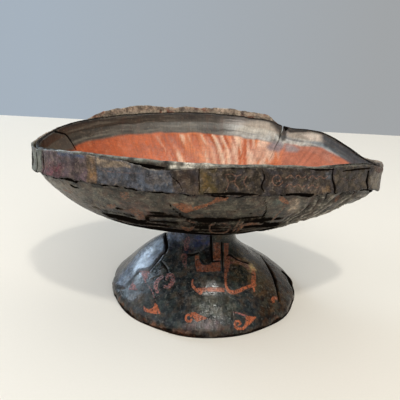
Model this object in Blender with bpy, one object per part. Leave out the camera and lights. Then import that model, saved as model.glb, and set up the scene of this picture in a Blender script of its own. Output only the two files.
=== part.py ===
"""Lacquered stem cup, warped as its wooden core dried: an oval bowl pinched front to back,
the strip bound round its rim, and the turned stem foot that it stands on.

Metres, +Z up. The origin lies on the surface under the foot, below the middle of the mouth.
+X runs along the mouth's long axis to its pointed end, and +Y away from the banded front.
Angles are in degrees about +Z, from +X towards +Y, so the front of the cup is at 270.
"""

import math

import bmesh
import bpy
from mathutils import Vector

# Mouth of the bowl, measured to the outer face of its wall
MOUTH_HALF_LENGTH = 0.0887
MOUTH_FRONT_REACH = 0.0547
MOUTH_BACK_REACH = 0.0557
BLUNT_END_POWER = 2.00
POINTED_END_POWER = 1.55

# Height of the lip over the surface under the foot: higher behind, drooping at both ends
LIP_HEIGHT_IN_FRONT = 0.0844
LIP_RISE_BEHIND = 0.0064

# Droops of the lip: angle, half width in degrees, drop
LIP_DROOPS = (
    (2.0, 16.0, 0.0088),
    (187.0, 20.0, 0.0046),
    (327.0, 20.0, 0.0022),
    (39.0, 8.0, 0.0016),
    (22.0, 9.0, -0.0010),
)

# Dents and swellings of the mouth: angle, half width in degrees, push outwards
MOUTH_WARPS = (
    (34.0, 9.0, -0.0016),
    (52.0, 7.0, 0.0008),
    (214.0, 12.0, 0.0008),
)

# Wall of the bowl, upright under the band
UPRIGHT_WALL = 0.0140
WALL_THICKNESS = 0.0030
LIP_THICKNESS = 0.0020
FLOOR_THICKNESS = 0.0050
SHOULDER_TUCK = 0.0012

# Fullness of the underside: how late it turns up on its way out to the shoulder
BLUNT_END_FULLNESS = 3.4
POINTED_END_FULLNESS = 2.3
SIDE_FULLNESS = 2.4

# Rings of the bowl, as shares of the way out from the middle, and down the upright wall
UNDERSIDE_RINGS = (0.0, 0.12, 0.25, 0.38, 0.51, 0.63, 0.74, 0.84, 0.92, 0.975)
INSIDE_RINGS = (1.0, 0.955, 0.90, 0.82, 0.72, 0.60, 0.46, 0.30, 0.15)
OUTER_WALL_RINGS = ((0.93, 1.0), (0.50, 0.3), (0.0, 0.0))
INNER_WALL_RINGS = ((0.0, 0.0), (0.40, 0.5))

# Stem and foot
STEM_HEIGHT = 0.0400
NECK_RADIUS = 0.0155
FOOT_RADIUS = 0.0516
FOOT_CENTRE = Vector((0.0011, 0.0, 0.0))
FOOT_EDGE_HEIGHT = 0.0034
FOOT_EDGE_WIDTH = 0.0036
HOLLOW_DEPTH = 0.0240
HOLLOW_POWER = 1.3
HOLLOW_RINGS = (1.0, 0.90, 0.76, 0.60, 0.44, 0.26)

# Waves of the foot's worn edge: count round the edge, size, phase in degrees
FOOT_WAVES = (
    (3, 0.00040, 34.0),
    (7, 0.00024, 0.0),
    (11, 0.00020, 115.0),
)

# Profile of the stem foot from the neck to the edge: share of the height, share of the flare
FOOT_PROFILE = (
    (1.00, 0.000),
    (0.84, 0.000),
    (0.735, 0.040),
    (0.655, 0.120),
    (0.575, 0.240),
    (0.450, 0.450),
    (0.325, 0.665),
    (0.205, 0.840),
    (0.110, 0.965),
)

# Rounded edge of the foot: share of the edge's height, share of the flare
FOOT_EDGE_PROFILE = ((1.0, 0.985), (0.47, 1.0), (0.0, 0.985))

# Strip bound round the rim
BAND_THICKNESS = 0.0010
BAND_TOP_DROP = 0.0006
BAND_HEIGHT = 0.0130
BAND_START = 46.0
BAND_END = 371.0

# Torn upper edge of the band behind the cup
TEAR_START = 47.0
TEAR_END = 150.0
TEAR_RUN_OUT = 5.0
TEAR_RISE = 0.0036

# Notches and tongues of the torn edge: angle, half width in degrees, rise
BAND_TEARS = (
    (137.0, 8.0, 0.0022),
    (123.0, 5.0, 0.0012),
    (115.0, 3.0, -0.0008),
    (96.0, 6.0, 0.0004),
    (243.0, 16.0, -0.0022),
    (2.0, 3.5, 0.0020),
)

# Where the band stands off the wall: angle, half width in degrees, gap
BAND_LOOSE = (
    (243.0, 14.0, 0.0012),
    (290.0, 12.0, 0.0006),
    (184.0, 6.0, 0.0008),
    (2.0, 4.0, 0.0012),
)

# Crack through the wall, beside the silvery warp behind the pointed end
CRACK_ANGLE = 43.5
CRACK_DEPTH = 0.0210
CRACK_MOUTH = 0.0032

# Edges of the crack: share of its depth, share of its mouth, wander as a share of its mouth
CRACK_STEPS = (
    (-0.30, 1.00, 0.00),
    (0.00, 1.00, 0.00),
    (0.22, 0.72, 0.14),
    (0.45, 0.42, -0.16),
    (0.70, 0.24, 0.10),
    (1.00, 0.05, -0.05),
)

# Slit down the flare of the foot, where its core has split along the grain
SLIT_TOP = (0.0325, 0.0070)
SLIT_FOOT = (0.0398, -0.0270)
SLIT_SAG = 0.0020
SLIT_WIDTH = 0.0013
SLIT_DEPTH = 0.0018
SLIT_TAPER = 0.06
SLIT_RINGS = 11

# Gap that keeps two touching pieces apart
SEAT_GAP = 0.0003

# Spacing of the columns: how many, and how far they crowd into the two ends
COLUMNS = 96
END_CROWDING = 0.16

BLACK_LACQUER = (0.035, 0.034, 0.031, 1.0)
GREY_BLACK_LACQUER = (0.040, 0.042, 0.042, 1.0)
PATCHED_LACQUER = (0.075, 0.062, 0.060, 1.0)


def rim_angles(start, end, steps):
    """Angles from start to end, closer together at the two ends of the oval."""
    angles = []
    for i in range(steps + 1):
        turn = start + (end - start) * i / steps
        angles.append(turn - math.degrees(END_CROWDING * math.sin(math.radians(2.0 * turn))))
    return angles


def bump(angle, centre, half_width):
    """Smooth hill of height 1 at centre, in degrees."""
    away = (angle - centre + 180.0) % 360.0 - 180.0
    return math.exp(-((away / half_width) ** 2))


def direction(angle):
    """Unit vector in plan at an angle in degrees."""
    return Vector((math.cos(math.radians(angle)), math.sin(math.radians(angle)), 0.0))


def wall_reach(angle):
    """Distance in plan from the mouth's centre to the outer face of the wall."""
    across = math.cos(math.radians(angle))
    along = math.sin(math.radians(angle))
    power = POINTED_END_POWER if across > 0 else BLUNT_END_POWER
    depth = MOUTH_BACK_REACH if along > 0 else MOUTH_FRONT_REACH
    reach = (
        abs(across / MOUTH_HALF_LENGTH) ** power + abs(along / depth) ** power
    ) ** (-1.0 / power)
    return reach + sum(push * bump(angle, at, width) for at, width, push in MOUTH_WARPS)


def seat_height():
    """Height of the bowl's flat seat."""
    return STEM_HEIGHT + SEAT_GAP


def lip_height(angle):
    """Height of the lip: a saddle, highest behind and drooping at the ends."""
    rise = LIP_RISE_BEHIND * max(0.0, math.sin(math.radians(angle)))
    drop = sum(drop * bump(angle, at, width) for at, width, drop in LIP_DROOPS)
    return LIP_HEIGHT_IN_FRONT + rise - drop


def underside_fullness(angle):
    """Power of the underside's curve at an angle."""
    across = math.cos(math.radians(angle))
    end = POINTED_END_FULLNESS if across > 0 else BLUNT_END_FULLNESS
    return end * across**2 + SIDE_FULLNESS * (1.0 - across**2)


def underside_height(share, angle):
    """Height of the underside at a share of the way from the seat to the shoulder."""
    rise = lip_height(angle) - UPRIGHT_WALL - seat_height()
    return seat_height() + rise * share ** underside_fullness(angle)


def outer_section(angle):
    """Outer face of the bowl: (share of the way out, radius, height) from seat to lip."""
    reach = wall_reach(angle)
    top = lip_height(angle)
    shoulder = reach - SHOULDER_TUCK
    points = []
    for share in UNDERSIDE_RINGS:
        radius = NECK_RADIUS + (shoulder - NECK_RADIUS) * share
        points.append((share, radius, underside_height(share, angle)))
    for down, tuck in OUTER_WALL_RINGS:
        points.append((1.0, reach - tuck * SHOULDER_TUCK, top - down * UPRIGHT_WALL))
    return points


def inner_section(angle):
    """Inner face of the bowl: (share of the way out, radius, height) from lip to floor."""
    reach = wall_reach(angle)
    top = lip_height(angle)
    shoulder = reach - SHOULDER_TUCK - WALL_THICKNESS
    points = []
    for down, blend in INNER_WALL_RINGS:
        thickness = LIP_THICKNESS + (WALL_THICKNESS - LIP_THICKNESS) * blend
        points.append((1.0, reach - thickness, top - down * UPRIGHT_WALL))
    for share in INSIDE_RINGS:
        radius = shoulder * share
        out = max(0.0, (radius - NECK_RADIUS) / (shoulder - NECK_RADIUS))
        points.append((share, radius, underside_height(out, angle) + FLOOR_THICKNESS))
    return points


def bowl_point(share, radius, height, angle):
    """Point of the bowl: its rings move from the stem's axis to the mouth's centre."""
    centre = FOOT_CENTRE * (1.0 - share)
    return centre + direction(angle) * radius + Vector((0.0, 0.0, height))


def skin(mesh, rings):
    """Joins each ring of vertices to the next with quads."""
    count = len(rings[0])
    for lower, upper in zip(rings, rings[1:]):
        for i in range(count):
            j = (i + 1) % count
            mesh.faces.new((lower[i], lower[j], upper[j], upper[i]))


def cap(mesh, ring, centre):
    """Closes a ring with a fan round a centre point."""
    hub = mesh.verts.new(centre)
    for i, vertex in enumerate(ring):
        mesh.faces.new((vertex, ring[(i + 1) % len(ring)], hub))


def add_object(name, mesh, colour=BLACK_LACQUER, roughness=0.4):
    """Links a bmesh as a named object, shaded smooth, with its own material."""
    bmesh.ops.recalc_face_normals(mesh, faces=mesh.faces)
    data = bpy.data.meshes.new(name)
    mesh.to_mesh(data)
    mesh.free()
    data.shade_smooth()
    data.set_sharp_from_angle(angle=math.radians(40.0))
    material = bpy.data.materials.new(name + "_lacquer")
    material.use_nodes = True
    shader = material.node_tree.nodes["Principled BSDF"]
    shader.inputs["Base Color"].default_value = colour
    shader.inputs["Roughness"].default_value = roughness
    shader.inputs["Metallic"].default_value = 0.0
    data.materials.append(material)
    made = bpy.data.objects.new(name, data)
    bpy.context.scene.collection.objects.link(made)
    return made


def cut_with(target, cutter):
    """Cuts a helper out of an object, and keeps the helper out of the render."""
    cutter.hide_render = True
    cutter.display_type = "WIRE"
    cut = target.modifiers.new(cutter.name, "BOOLEAN")
    cut.operation = "DIFFERENCE"
    cut.solver = "EXACT"
    cut.object = cutter


def make_bowl():
    """Thin oval bowl with an upright wall and a flat seat."""
    mesh = bmesh.new()
    angles = rim_angles(0.0, 360.0, COLUMNS)[:-1]
    sections = [outer_section(angle) + inner_section(angle) for angle in angles]
    rings = [
        [mesh.verts.new(bowl_point(*section[row], angle)) for angle, section in zip(angles, sections)]
        for row in range(len(sections[0]))
    ]
    skin(mesh, rings)
    cap(mesh, rings[0], bowl_point(0.0, 0.0, seat_height(), 0.0))
    cap(mesh, rings[-1], bowl_point(0.0, 0.0, seat_height() + FLOOR_THICKNESS, 0.0))
    return add_object("bowl", mesh, BLACK_LACQUER, 0.35)


def make_crack_cutter():
    """Ragged wedge through the wall behind the pointed end, wide at the lip."""
    top = lip_height(CRACK_ANGLE)
    outward = direction(CRACK_ANGLE)
    sideways = Vector((-outward.y, outward.x, 0.0))
    reach = wall_reach(CRACK_ANGLE)
    left = [(down, wander + 0.5 * wide) for down, wide, wander in CRACK_STEPS]
    right = [(down, wander - 0.5 * wide) for down, wide, wander in CRACK_STEPS]
    mesh = bmesh.new()
    ends = []
    for radius in (reach - CRACK_DEPTH, reach + CRACK_DEPTH):
        ring = []
        for down, side in left + right[::-1]:
            point = outward * radius + sideways * (side * CRACK_MOUTH)
            ring.append(mesh.verts.new(point + Vector((0.0, 0.0, top - down * CRACK_DEPTH))))
        ends.append(ring)
    skin(mesh, ends)
    for ring in ends:
        mesh.faces.new(ring)
    return add_object("crack_cutter", mesh)


def foot_wave(angle):
    """Small waves of the foot's worn edge."""
    return sum(
        size * math.sin(math.radians(count * angle + phase)) for count, size, phase in FOOT_WAVES
    )


def foot_radius(flare, angle):
    """Radius of the stem foot where it has flared by a share."""
    return NECK_RADIUS + (FOOT_RADIUS - NECK_RADIUS) * flare + foot_wave(angle) * flare**2


def foot_height(radius):
    """Height of the flare's outer face at a distance from its axis."""
    flare = (radius - NECK_RADIUS) / (FOOT_RADIUS - NECK_RADIUS)
    for (high, near), (low, far) in zip(FOOT_PROFILE, FOOT_PROFILE[1:]):
        if near <= flare <= far and far > near:
            return STEM_HEIGHT * (high + (low - high) * (flare - near) / (far - near))
    return 0.0


def foot_point(radius, height, angle):
    """Point of the stem foot round its own axis."""
    return FOOT_CENTRE + direction(angle) * radius + Vector((0.0, 0.0, height))


def make_stem_foot():
    """Turned stem that flares into a low bell, hollow under the flare."""
    mesh = bmesh.new()
    angles = [360.0 * i / COLUMNS for i in range(COLUMNS)]
    rings = []
    for height, flare in FOOT_PROFILE:
        rings.append([foot_point(foot_radius(flare, a), height * STEM_HEIGHT, a) for a in angles])
    for share, flare in FOOT_EDGE_PROFILE:
        rings.append([foot_point(foot_radius(flare, a), share * FOOT_EDGE_HEIGHT, a) for a in angles])
    hollow_radius = FOOT_RADIUS - FOOT_EDGE_WIDTH
    for share in HOLLOW_RINGS:
        height = HOLLOW_DEPTH * (1.0 - share**HOLLOW_POWER)
        rings.append([foot_point(hollow_radius * share, height, a) for a in angles])
    vertices = [[mesh.verts.new(point) for point in ring] for ring in rings]
    skin(mesh, vertices)
    cap(mesh, vertices[0], foot_point(0.0, STEM_HEIGHT, 0.0))
    cap(mesh, vertices[-1], foot_point(0.0, HOLLOW_DEPTH, 0.0))
    return add_object("stem_foot", mesh, GREY_BLACK_LACQUER, 0.35)


def make_slit_cutter():
    """Thin blade that follows the flare of the foot, deepest and widest in its middle."""
    mesh = bmesh.new()
    top = Vector((*SLIT_TOP, 0.0))
    run = Vector((*SLIT_FOOT, 0.0)) - top
    sideways = Vector((-run.y, run.x, 0.0)).normalized()
    rings = []
    for i in range(SLIT_RINGS):
        share = i / (SLIT_RINGS - 1)
        swell = SLIT_TAPER + (1.0 - SLIT_TAPER) * math.sin(math.pi * share)
        middle = top + run * share + sideways * (SLIT_SAG * math.sin(math.pi * share))
        surface = foot_height((middle - FOOT_CENTRE).length)
        side = sideways * (0.5 * SLIT_WIDTH * swell)
        above = Vector((0.0, 0.0, surface + SLIT_DEPTH))
        below = Vector((0.0, 0.0, surface - SLIT_DEPTH * swell))
        corners = (middle - side + above, middle + side + above, middle + below)
        rings.append([mesh.verts.new(corner) for corner in corners])
    skin(mesh, rings)
    mesh.faces.new(rings[0])
    mesh.faces.new(rings[-1])
    return add_object("slit_cutter", mesh)


def smooth_step(value, low, high):
    """Eases from 0 at low to 1 at high."""
    share = min(1.0, max(0.0, (value - low) / (high - low)))
    return share * share * (3.0 - 2.0 * share)


def band_rise(angle):
    """Height of the band's upper edge over the lip: just under it, and torn up behind the cup."""
    turn = angle % 360.0
    torn = smooth_step(turn, TEAR_START, TEAR_START + TEAR_RUN_OUT)
    torn *= 1.0 - smooth_step(turn, TEAR_END - TEAR_RUN_OUT, TEAR_END)
    tears = sum(rise * bump(angle, at, width) for at, width, rise in BAND_TEARS)
    return TEAR_RISE * torn + tears - BAND_TOP_DROP


def band_inner_radius(angle):
    """Radius of the band's inner face, clear of the wall."""
    loose = sum(gap * bump(angle, at, width) for at, width, gap in BAND_LOOSE)
    return wall_reach(angle) + SEAT_GAP + loose


def make_rim_band():
    """Strip bound round the outside of the rim, open between the crack and the pointed end."""
    mesh = bmesh.new()
    steps = round(COLUMNS * (BAND_END - BAND_START) / 360.0)
    rows = []
    for angle in rim_angles(BAND_START, BAND_END, steps):
        inner = band_inner_radius(angle)
        outer = inner + BAND_THICKNESS
        upper = lip_height(angle) + band_rise(angle)
        lower = lip_height(angle) - BAND_TOP_DROP - BAND_HEIGHT
        middle = 0.5 * (upper + lower)
        outside = ((outer, lower), (outer, middle), (outer, upper))
        inside = ((inner, upper), (inner, middle), (inner, lower))
        rows.append([
            mesh.verts.new(direction(angle) * radius + Vector((0.0, 0.0, height)))
            for radius, height in outside + inside
        ])
    skin(mesh, rows)
    mesh.faces.new(rows[0])
    mesh.faces.new(rows[-1])
    return add_object("rim_band", mesh, PATCHED_LACQUER, 0.45)


def main():
    """Clears the scene and builds the cup."""
    for old in list(bpy.data.objects):
        bpy.data.objects.remove(old)
    bowl = make_bowl()
    cut_with(bowl, make_crack_cutter())
    foot = make_stem_foot()
    cut_with(foot, make_slit_cutter())
    make_rim_band()


main()
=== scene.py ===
"""Dresses the lacquered stem cup: its relief, its painted scrolls and its worn coats of lacquer.

Metres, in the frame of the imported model: +X along the mouth to its pointed end, +Y away from the
banded front, +Z up. Angles are in degrees about +Z from +X towards +Y, so the front is at 270.

Painted scrolls, patches and cracks are placed on a drawing of the cup as it is seen from in front,
a square 400 units wide with x to the right and y down. They are thrown onto the cup along the
lines of sight. The back of the foot, which the drawing doesn't show, takes them turned half round.
"""

import logging
import math
from collections.abc import Sequence
from dataclasses import dataclass
from enum import Enum
from functools import partial
from itertools import product
from typing import Any

import bmesh
import bpy
import numpy as np
from mathutils import Matrix, Vector
from numpy.typing import NDArray


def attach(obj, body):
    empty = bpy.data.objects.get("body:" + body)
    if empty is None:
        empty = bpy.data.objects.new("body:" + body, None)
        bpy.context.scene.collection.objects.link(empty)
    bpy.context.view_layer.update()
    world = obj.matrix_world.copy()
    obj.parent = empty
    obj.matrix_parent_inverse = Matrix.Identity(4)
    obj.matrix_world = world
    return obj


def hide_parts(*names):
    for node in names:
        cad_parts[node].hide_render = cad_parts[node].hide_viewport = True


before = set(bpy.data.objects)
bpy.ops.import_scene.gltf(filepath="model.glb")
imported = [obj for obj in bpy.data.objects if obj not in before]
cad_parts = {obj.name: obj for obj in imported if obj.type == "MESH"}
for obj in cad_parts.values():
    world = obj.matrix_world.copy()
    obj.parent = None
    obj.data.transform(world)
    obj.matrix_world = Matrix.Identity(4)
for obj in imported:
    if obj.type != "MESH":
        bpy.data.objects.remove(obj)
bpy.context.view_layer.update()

Array = NDArray[np.float64]
Hills = tuple[tuple[float, float, float], ...]  # angle, half width in degrees, and height of each

# Fields that a piece's vertices carry: the layer's kind and property, by the numbers in each
LAYERS = {1: ("FLOAT", "value"), 3: ("FLOAT_VECTOR", "vector"), 4: ("FLOAT_COLOR", "color")}

# Units on the drawing
LIMIT = 4.0  # how far outside a shape it is still followed
TURNED = 6.0  # what takes a shape off the side that faces away
HIDDEN = 8.0  # what takes a shape off a face that isn't painted

log = logging.getLogger("stem_cup")


# Numbers and fields


def linear(colour: str) -> tuple[float, ...]:
    """Linear red, green and blue of an sRGB colour, "#rrggbb"."""
    parts = (int(colour[i : i + 2], 16) / 255.0 for i in (1, 3, 5))
    return tuple(p / 12.92 if p <= 0.04045 else ((p + 0.055) / 1.055) ** 2.4 for p in parts)


def ease(value: Array, low: float, high: float) -> Array:
    """Eases values from 0 at low to 1 at high."""
    share = np.clip((value - low) / (high - low), 0.0, 1.0)
    return share * share * (3.0 - 2.0 * share)


def swell(angle: Array, centre: float, half_width: float) -> Array:
    """Smooth hill of height 1 at an angle round the cup, in degrees."""
    away = (angle - centre + 180.0) % 360.0 - 180.0
    return np.exp(-((away / half_width) ** 2))


def hills(angle: Array, rows: Hills) -> Array:
    """Sum of several hills, each by its angle, half width in degrees, and height."""
    return sum(height * swell(angle, at, width) for at, width, height in rows)


def curve_through(points: Array, steps: int) -> Array:
    """Smooth line through points, as a Catmull-Rom spline.

    Args:
        points: Points to run through, one a row.
        steps: Steps from each point to the next.

    Returns:
        Points of the line, one a row.
    """
    padded = np.vstack((2 * points[0] - points[1], points, 2 * points[-1] - points[-2]))
    t = np.linspace(0.0, 1.0, steps, endpoint=False)[:, None]
    line = []
    for a, b, c, d in zip(padded, padded[1:], padded[2:], padded[3:]):
        square, cube = 2 * a - 5 * b + 4 * c - d, 3 * b - a - 3 * c + d
        line.append(0.5 * (2 * b + (c - a) * t + square * t**2 + cube * t**3))
    return np.vstack((*line, points[-1:]))


def lay(ground: Array | str, *coats: tuple[str, Array]) -> Array:
    """Lays coats of colour.

    Args:
        ground: Hex colour or linear colours that lie under them.
        coats: Hex colour of each, and how far it covers, from 0 to 1.

    Returns:
        Linear colours.
    """
    tone = np.array(linear(ground)) if isinstance(ground, str) else ground
    for colour, cover in coats:
        tone = tone + (np.array(linear(colour)) - tone) * cover[..., None]
    return tone


@dataclass(frozen=True)
class Lumps:
    """Smooth random field in space, the same on each run."""

    seed: int  # picks the field
    size: float  # metres from one lump to the next

    def at(self, points: Array, stretch: tuple[float, float, float] = (1.0, 1.0, 1.0)) -> Array:
        """Values of the field.

        Args:
            points: Points in metres, with x, y and z last.
            stretch: How many times longer the lumps are along each axis.

        Returns:
            A value from -1 to 1 for each point.
        """
        count = 32
        table = np.random.default_rng(self.seed).uniform(-1.0, 1.0, (count, count, count))
        place = points / (self.size * np.array(stretch)) + 1000.0
        corner = np.floor(place).astype(int)
        part = place - corner
        part = part * part * (3.0 - 2.0 * part)
        total = np.zeros(points.shape[:-1])
        for step in product((0, 1), repeat=3):
            weight = np.prod(np.where(np.array(step) == 1, part, 1.0 - part), axis=-1)
            x, y, z = np.moveaxis((corner + np.array(step)) % count, -1, 0)
            total += weight * table[x, y, z]
        return total


# The drawing, and what is drawn on it


@dataclass(frozen=True)
class Sight:
    """The eye in front of the cup: it throws the drawing onto the cup, and the camera stands there."""

    lens: float = 42.0  # focal length in millimetres
    sensor: float = 36.0  # width of the sensor in millimetres
    pitch: float = 18.02  # degrees that it looks down
    roll: float = 3.0  # degrees that it leans to its left
    place: tuple[float, float, float] = (-0.0036, -0.2395, 0.1291)
    square: float = 400.0  # width of the drawing in units

    def turn(self) -> Matrix:
        """Rotation of the camera.

        Returns:
            The rotation, which looks along -Z.
        """
        pitch = math.radians(self.pitch)
        forward = Vector((0.0, math.cos(pitch), -math.sin(pitch)))
        right = Vector((1.0, 0.0, 0.0))
        level = Matrix((right, right.cross(forward), -forward)).transposed()
        return level @ Matrix.Rotation(math.radians(self.roll), 3, "Z")

    def draw(self, points: Array) -> Array:
        """Where points stand on the drawing.

        Args:
            points: Points in metres, with x, y and z last.

        Returns:
            Their x and y on the drawing, in units.
        """
        seen = (points - np.array(self.place)) @ np.array(self.turn())
        scale = self.square * self.lens / self.sensor
        return 0.5 * self.square + scale * seen[..., :2] / seen[..., 2:] * np.array((-1.0, 1.0))

    def camera(self) -> None:
        """Puts the camera at the eye."""
        data = bpy.data.cameras.new("front_camera")
        data.lens, data.sensor_width = self.lens, self.sensor
        data.clip_start, data.clip_end = 0.01, 50.0
        made = bpy.data.objects.new("front_camera", data)
        made.matrix_world = Matrix.Translation(self.place) @ self.turn().to_4x4()
        bpy.context.scene.collection.objects.link(made)
        bpy.context.scene.camera = made


@dataclass(frozen=True)
class Stroke:
    """A stroke of the brush or a crack."""

    run: tuple[float, ...]  # x, y and width at each of its points in turn

    def corners(self) -> Array:
        """Its points, one a row."""
        return np.reshape(self.run, (-1, 3))

    def cover(self, at: Array) -> Array:
        """How far points are inside it.

        Args:
            at: Points on the drawing, one a row.

        Returns:
            Units inside its edge, negative outside.
        """
        line = curve_through(self.corners(), 5)
        inside = np.full(len(at), -1e3)
        for start, end in zip(line, line[1:]):
            run = end[:2] - start[:2]
            share = np.clip((at - start[:2]) @ run / max(run @ run, 1e-9), 0.0, 1.0)
            away = np.linalg.norm(at - start[:2] - share[:, None] * run, axis=1)
            inside = np.maximum(inside, 0.5 * (start[2] + share * (end[2] - start[2])) - away)
        return inside


@dataclass(frozen=True)
class Area:
    """A filled shape."""

    outline: tuple[float, ...]  # x and y at each of its corners in turn

    def corners(self) -> Array:
        """Its corners, one a row."""
        return np.reshape(self.outline, (-1, 2))

    def cover(self, at: Array) -> Array:
        """How far points are inside it.

        Args:
            at: Points on the drawing, one a row.

        Returns:
            Units inside its edge, negative outside.
        """
        nearest = np.full(len(at), 1e3)
        inside = np.zeros(len(at), dtype=bool)
        for start, end in zip(self.corners(), np.roll(self.corners(), -1, axis=0)):
            run = end - start
            share = np.clip((at - start) @ run / max(run @ run, 1e-9), 0.0, 1.0)
            nearest = np.minimum(nearest, np.linalg.norm(at - start - share[:, None] * run, axis=1))
            between = (start[1] > at[:, 1]) != (end[1] > at[:, 1])
            rise = run[1] if run[1] != 0.0 else 1e-9
            inside ^= between & (at[:, 0] < start[0] + (at[:, 1] - start[1]) * run[0] / rise)
        return np.where(inside, nearest, -nearest)


Shapes = tuple[Stroke | Area, ...]


@dataclass(frozen=True)
class Patch:
    """A patch of one colour in the lacquer, or of painted light or shade laid on it."""

    colour: str
    soft: float  # units over which its edge fades
    outline: tuple[float, ...]  # x and y at each of its corners in turn
    raised: float = 0.0  # millimetres that it stands over its surroundings

    def inside(self, at: Array, limit: float = 12.0) -> Array:
        """Units that points are inside it, negative outside, never under minus the limit."""
        return covered((Area(self.outline),), at, limit)

    def cover(self, inside: Array) -> Array:
        """How far it covers, from 0 to 1, at so many units inside it."""
        return ease(inside, -self.soft, self.soft)


def strokes(*runs: tuple[float, ...]) -> Shapes:
    """Strokes from their runs."""
    return tuple(Stroke(run) for run in runs)


def areas(*outlines: tuple[float, ...]) -> Shapes:
    """Areas from their outlines."""
    return tuple(Area(outline) for outline in outlines)


def covered(shapes: Shapes, at: Array, limit: float = LIMIT) -> Array:
    """How far points are inside the nearest of several shapes.

    Args:
        shapes: Strokes and areas on the drawing.
        at: Points on the drawing, with x and y last.
        limit: Units past which the distance outside isn't followed.

    Returns:
        Units inside a shape, negative outside, never under minus the limit.
    """
    flat = at.reshape(-1, 2)
    inside = np.full(len(flat), -limit)
    for shape in shapes:
        corners = shape.corners()
        reach = limit + corners[:, 2:].max(initial=0.0)
        low, high = corners[:, :2].min(0) - reach, corners[:, :2].max(0) + reach
        near = np.all((flat > low) & (flat < high), axis=1)
        if near.any():
            inside[near] = np.maximum(inside[near], shape.cover(flat[near]))
    return inside.reshape(at.shape[:-1])


# Meshes


@dataclass(frozen=True)
class Grid:
    """A piece's points in rows and columns, and what is known of each."""

    points: Array  # in metres
    angle: Array  # in degrees
    drawn: Array  # where it stands on the drawing
    face: Array  # 0 on the outer face, 1 on the inner one
    down: Array | None = None  # metres below the lip, or share of the way up the band

    def lathe(self, radius: float) -> Array:
        """Lays the grid out on a cylinder, so that noise can run round it or down its rows.

        Args:
            radius: Radius of the cylinder in metres.

        Returns:
            Points on the cylinder, their height the way down the rows.
        """
        steps = np.linalg.norm(np.diff(self.points, axis=0), axis=-1)
        run = np.vstack((np.zeros_like(steps[:1]), np.cumsum(steps, axis=0)))
        turn = np.radians(self.angle)
        return np.stack((radius * np.cos(turn), radius * np.sin(turn), run), axis=-1)

    def normals(self) -> Array:
        """Normals of the grid, whose last column stands where the first one does.

        Returns:
            Unit normals, which face the way that rows turned into columns face.
        """
        ring = self.points[:, :-1]
        along = np.roll(ring, -1, axis=1) - np.roll(ring, 1, axis=1)
        along = np.concatenate((along, along[:, :1]), axis=1)
        normals = np.cross(along, np.gradient(self.points, axis=0))
        return normals / np.maximum(np.linalg.norm(normals, axis=-1, keepdims=True), 1e-12)


def quads(index: NDArray[np.int64]) -> list[list[int]]:
    """Faces between the rows and columns of a grid of vertices."""
    corners = (index[:-1, :-1], index[:-1, 1:], index[1:, 1:], index[1:, :-1])
    return np.stack(corners, axis=-1).reshape(-1, 4).tolist()


def fan(line: NDArray[np.int64], hub: int) -> list[list[int]]:
    """Faces from a line of vertices to a hub."""
    return [[int(a), int(b), hub] for a, b in zip(line, line[1:])]


def make_piece(
    name: str,
    points: Array,
    hubs: Array,
    faces: list[list[int]],
    fields: dict[str, Array],
    finishes: Sequence["Finish"],
    kinds: Sequence[int] | None = None,
) -> bpy.types.Object:
    """Makes a smooth-shaded mesh object whose vertices carry fields for its material.

    Args:
        name: Name of the piece.
        points: Grid of its points in metres.
        hubs: Two more points, which take the first and the last point's fields.
        faces: Its faces, as indices of vertices. Vertices that no face uses are dropped.
        fields: One to four numbers for each point of the grid, by name.
        finishes: Its finishes.
        kinds: Which finish each face has, where there are several.

    Returns:
        The new object, linked to the scene.
    """
    flat = np.vstack((points.reshape(-1, 3), hubs))
    used = np.zeros(len(flat), dtype=bool)
    for face in faces:
        used[face] = True
    number = np.cumsum(used) - 1
    data = bpy.data.meshes.new(name)
    data.from_pydata(flat[used].tolist(), [], [[int(number[i]) for i in face] for face in faces])
    for finish in finishes:
        data.materials.append(finish.value.make())
    if kinds is not None:
        data.polygons.foreach_set("material_index", kinds)
    for key, grid in fields.items():
        rows = grid.reshape(points.size // 3, -1)
        rows = np.vstack((rows, rows[:1], rows[-1:]))[used]
        kind, slot = LAYERS[rows.shape[1]]
        layer = data.attributes.new(name=key, type=kind, domain="POINT")
        layer.data.foreach_set(slot, rows.ravel())
    mesh = bmesh.new()
    mesh.from_mesh(data)
    bmesh.ops.recalc_face_normals(mesh, faces=mesh.faces)
    mesh.to_mesh(data)
    mesh.free()
    data.shade_smooth()
    made = bpy.data.objects.new(name, data)
    bpy.context.scene.collection.objects.link(made)
    return made


# Finishes


def add_node(
    tree: bpy.types.NodeTree,
    kind: str,
    inputs: dict[str | int, Any] | None = None,
    output: str | int = 0,
    **settings: Any,
) -> bpy.types.NodeSocket:
    """Adds a node with its settings and links.

    Args:
        tree: Node tree to add it to.
        kind: Blender's name for the kind of node, after "ShaderNode".
        inputs: A value, or an output to link from, for each input.
        output: The output that is wanted.
        settings: Properties of the node.

    Returns:
        That output of the new node.
    """
    made = tree.nodes.new("ShaderNode" + kind)
    for key, value in settings.items():
        setattr(made, key, value)
    for key, value in (inputs or {}).items():
        if isinstance(value, bpy.types.NodeSocket):
            tree.links.new(value, made.inputs[key])
        else:
            made.inputs[key].default_value = value
    return made.outputs[output]


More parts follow.
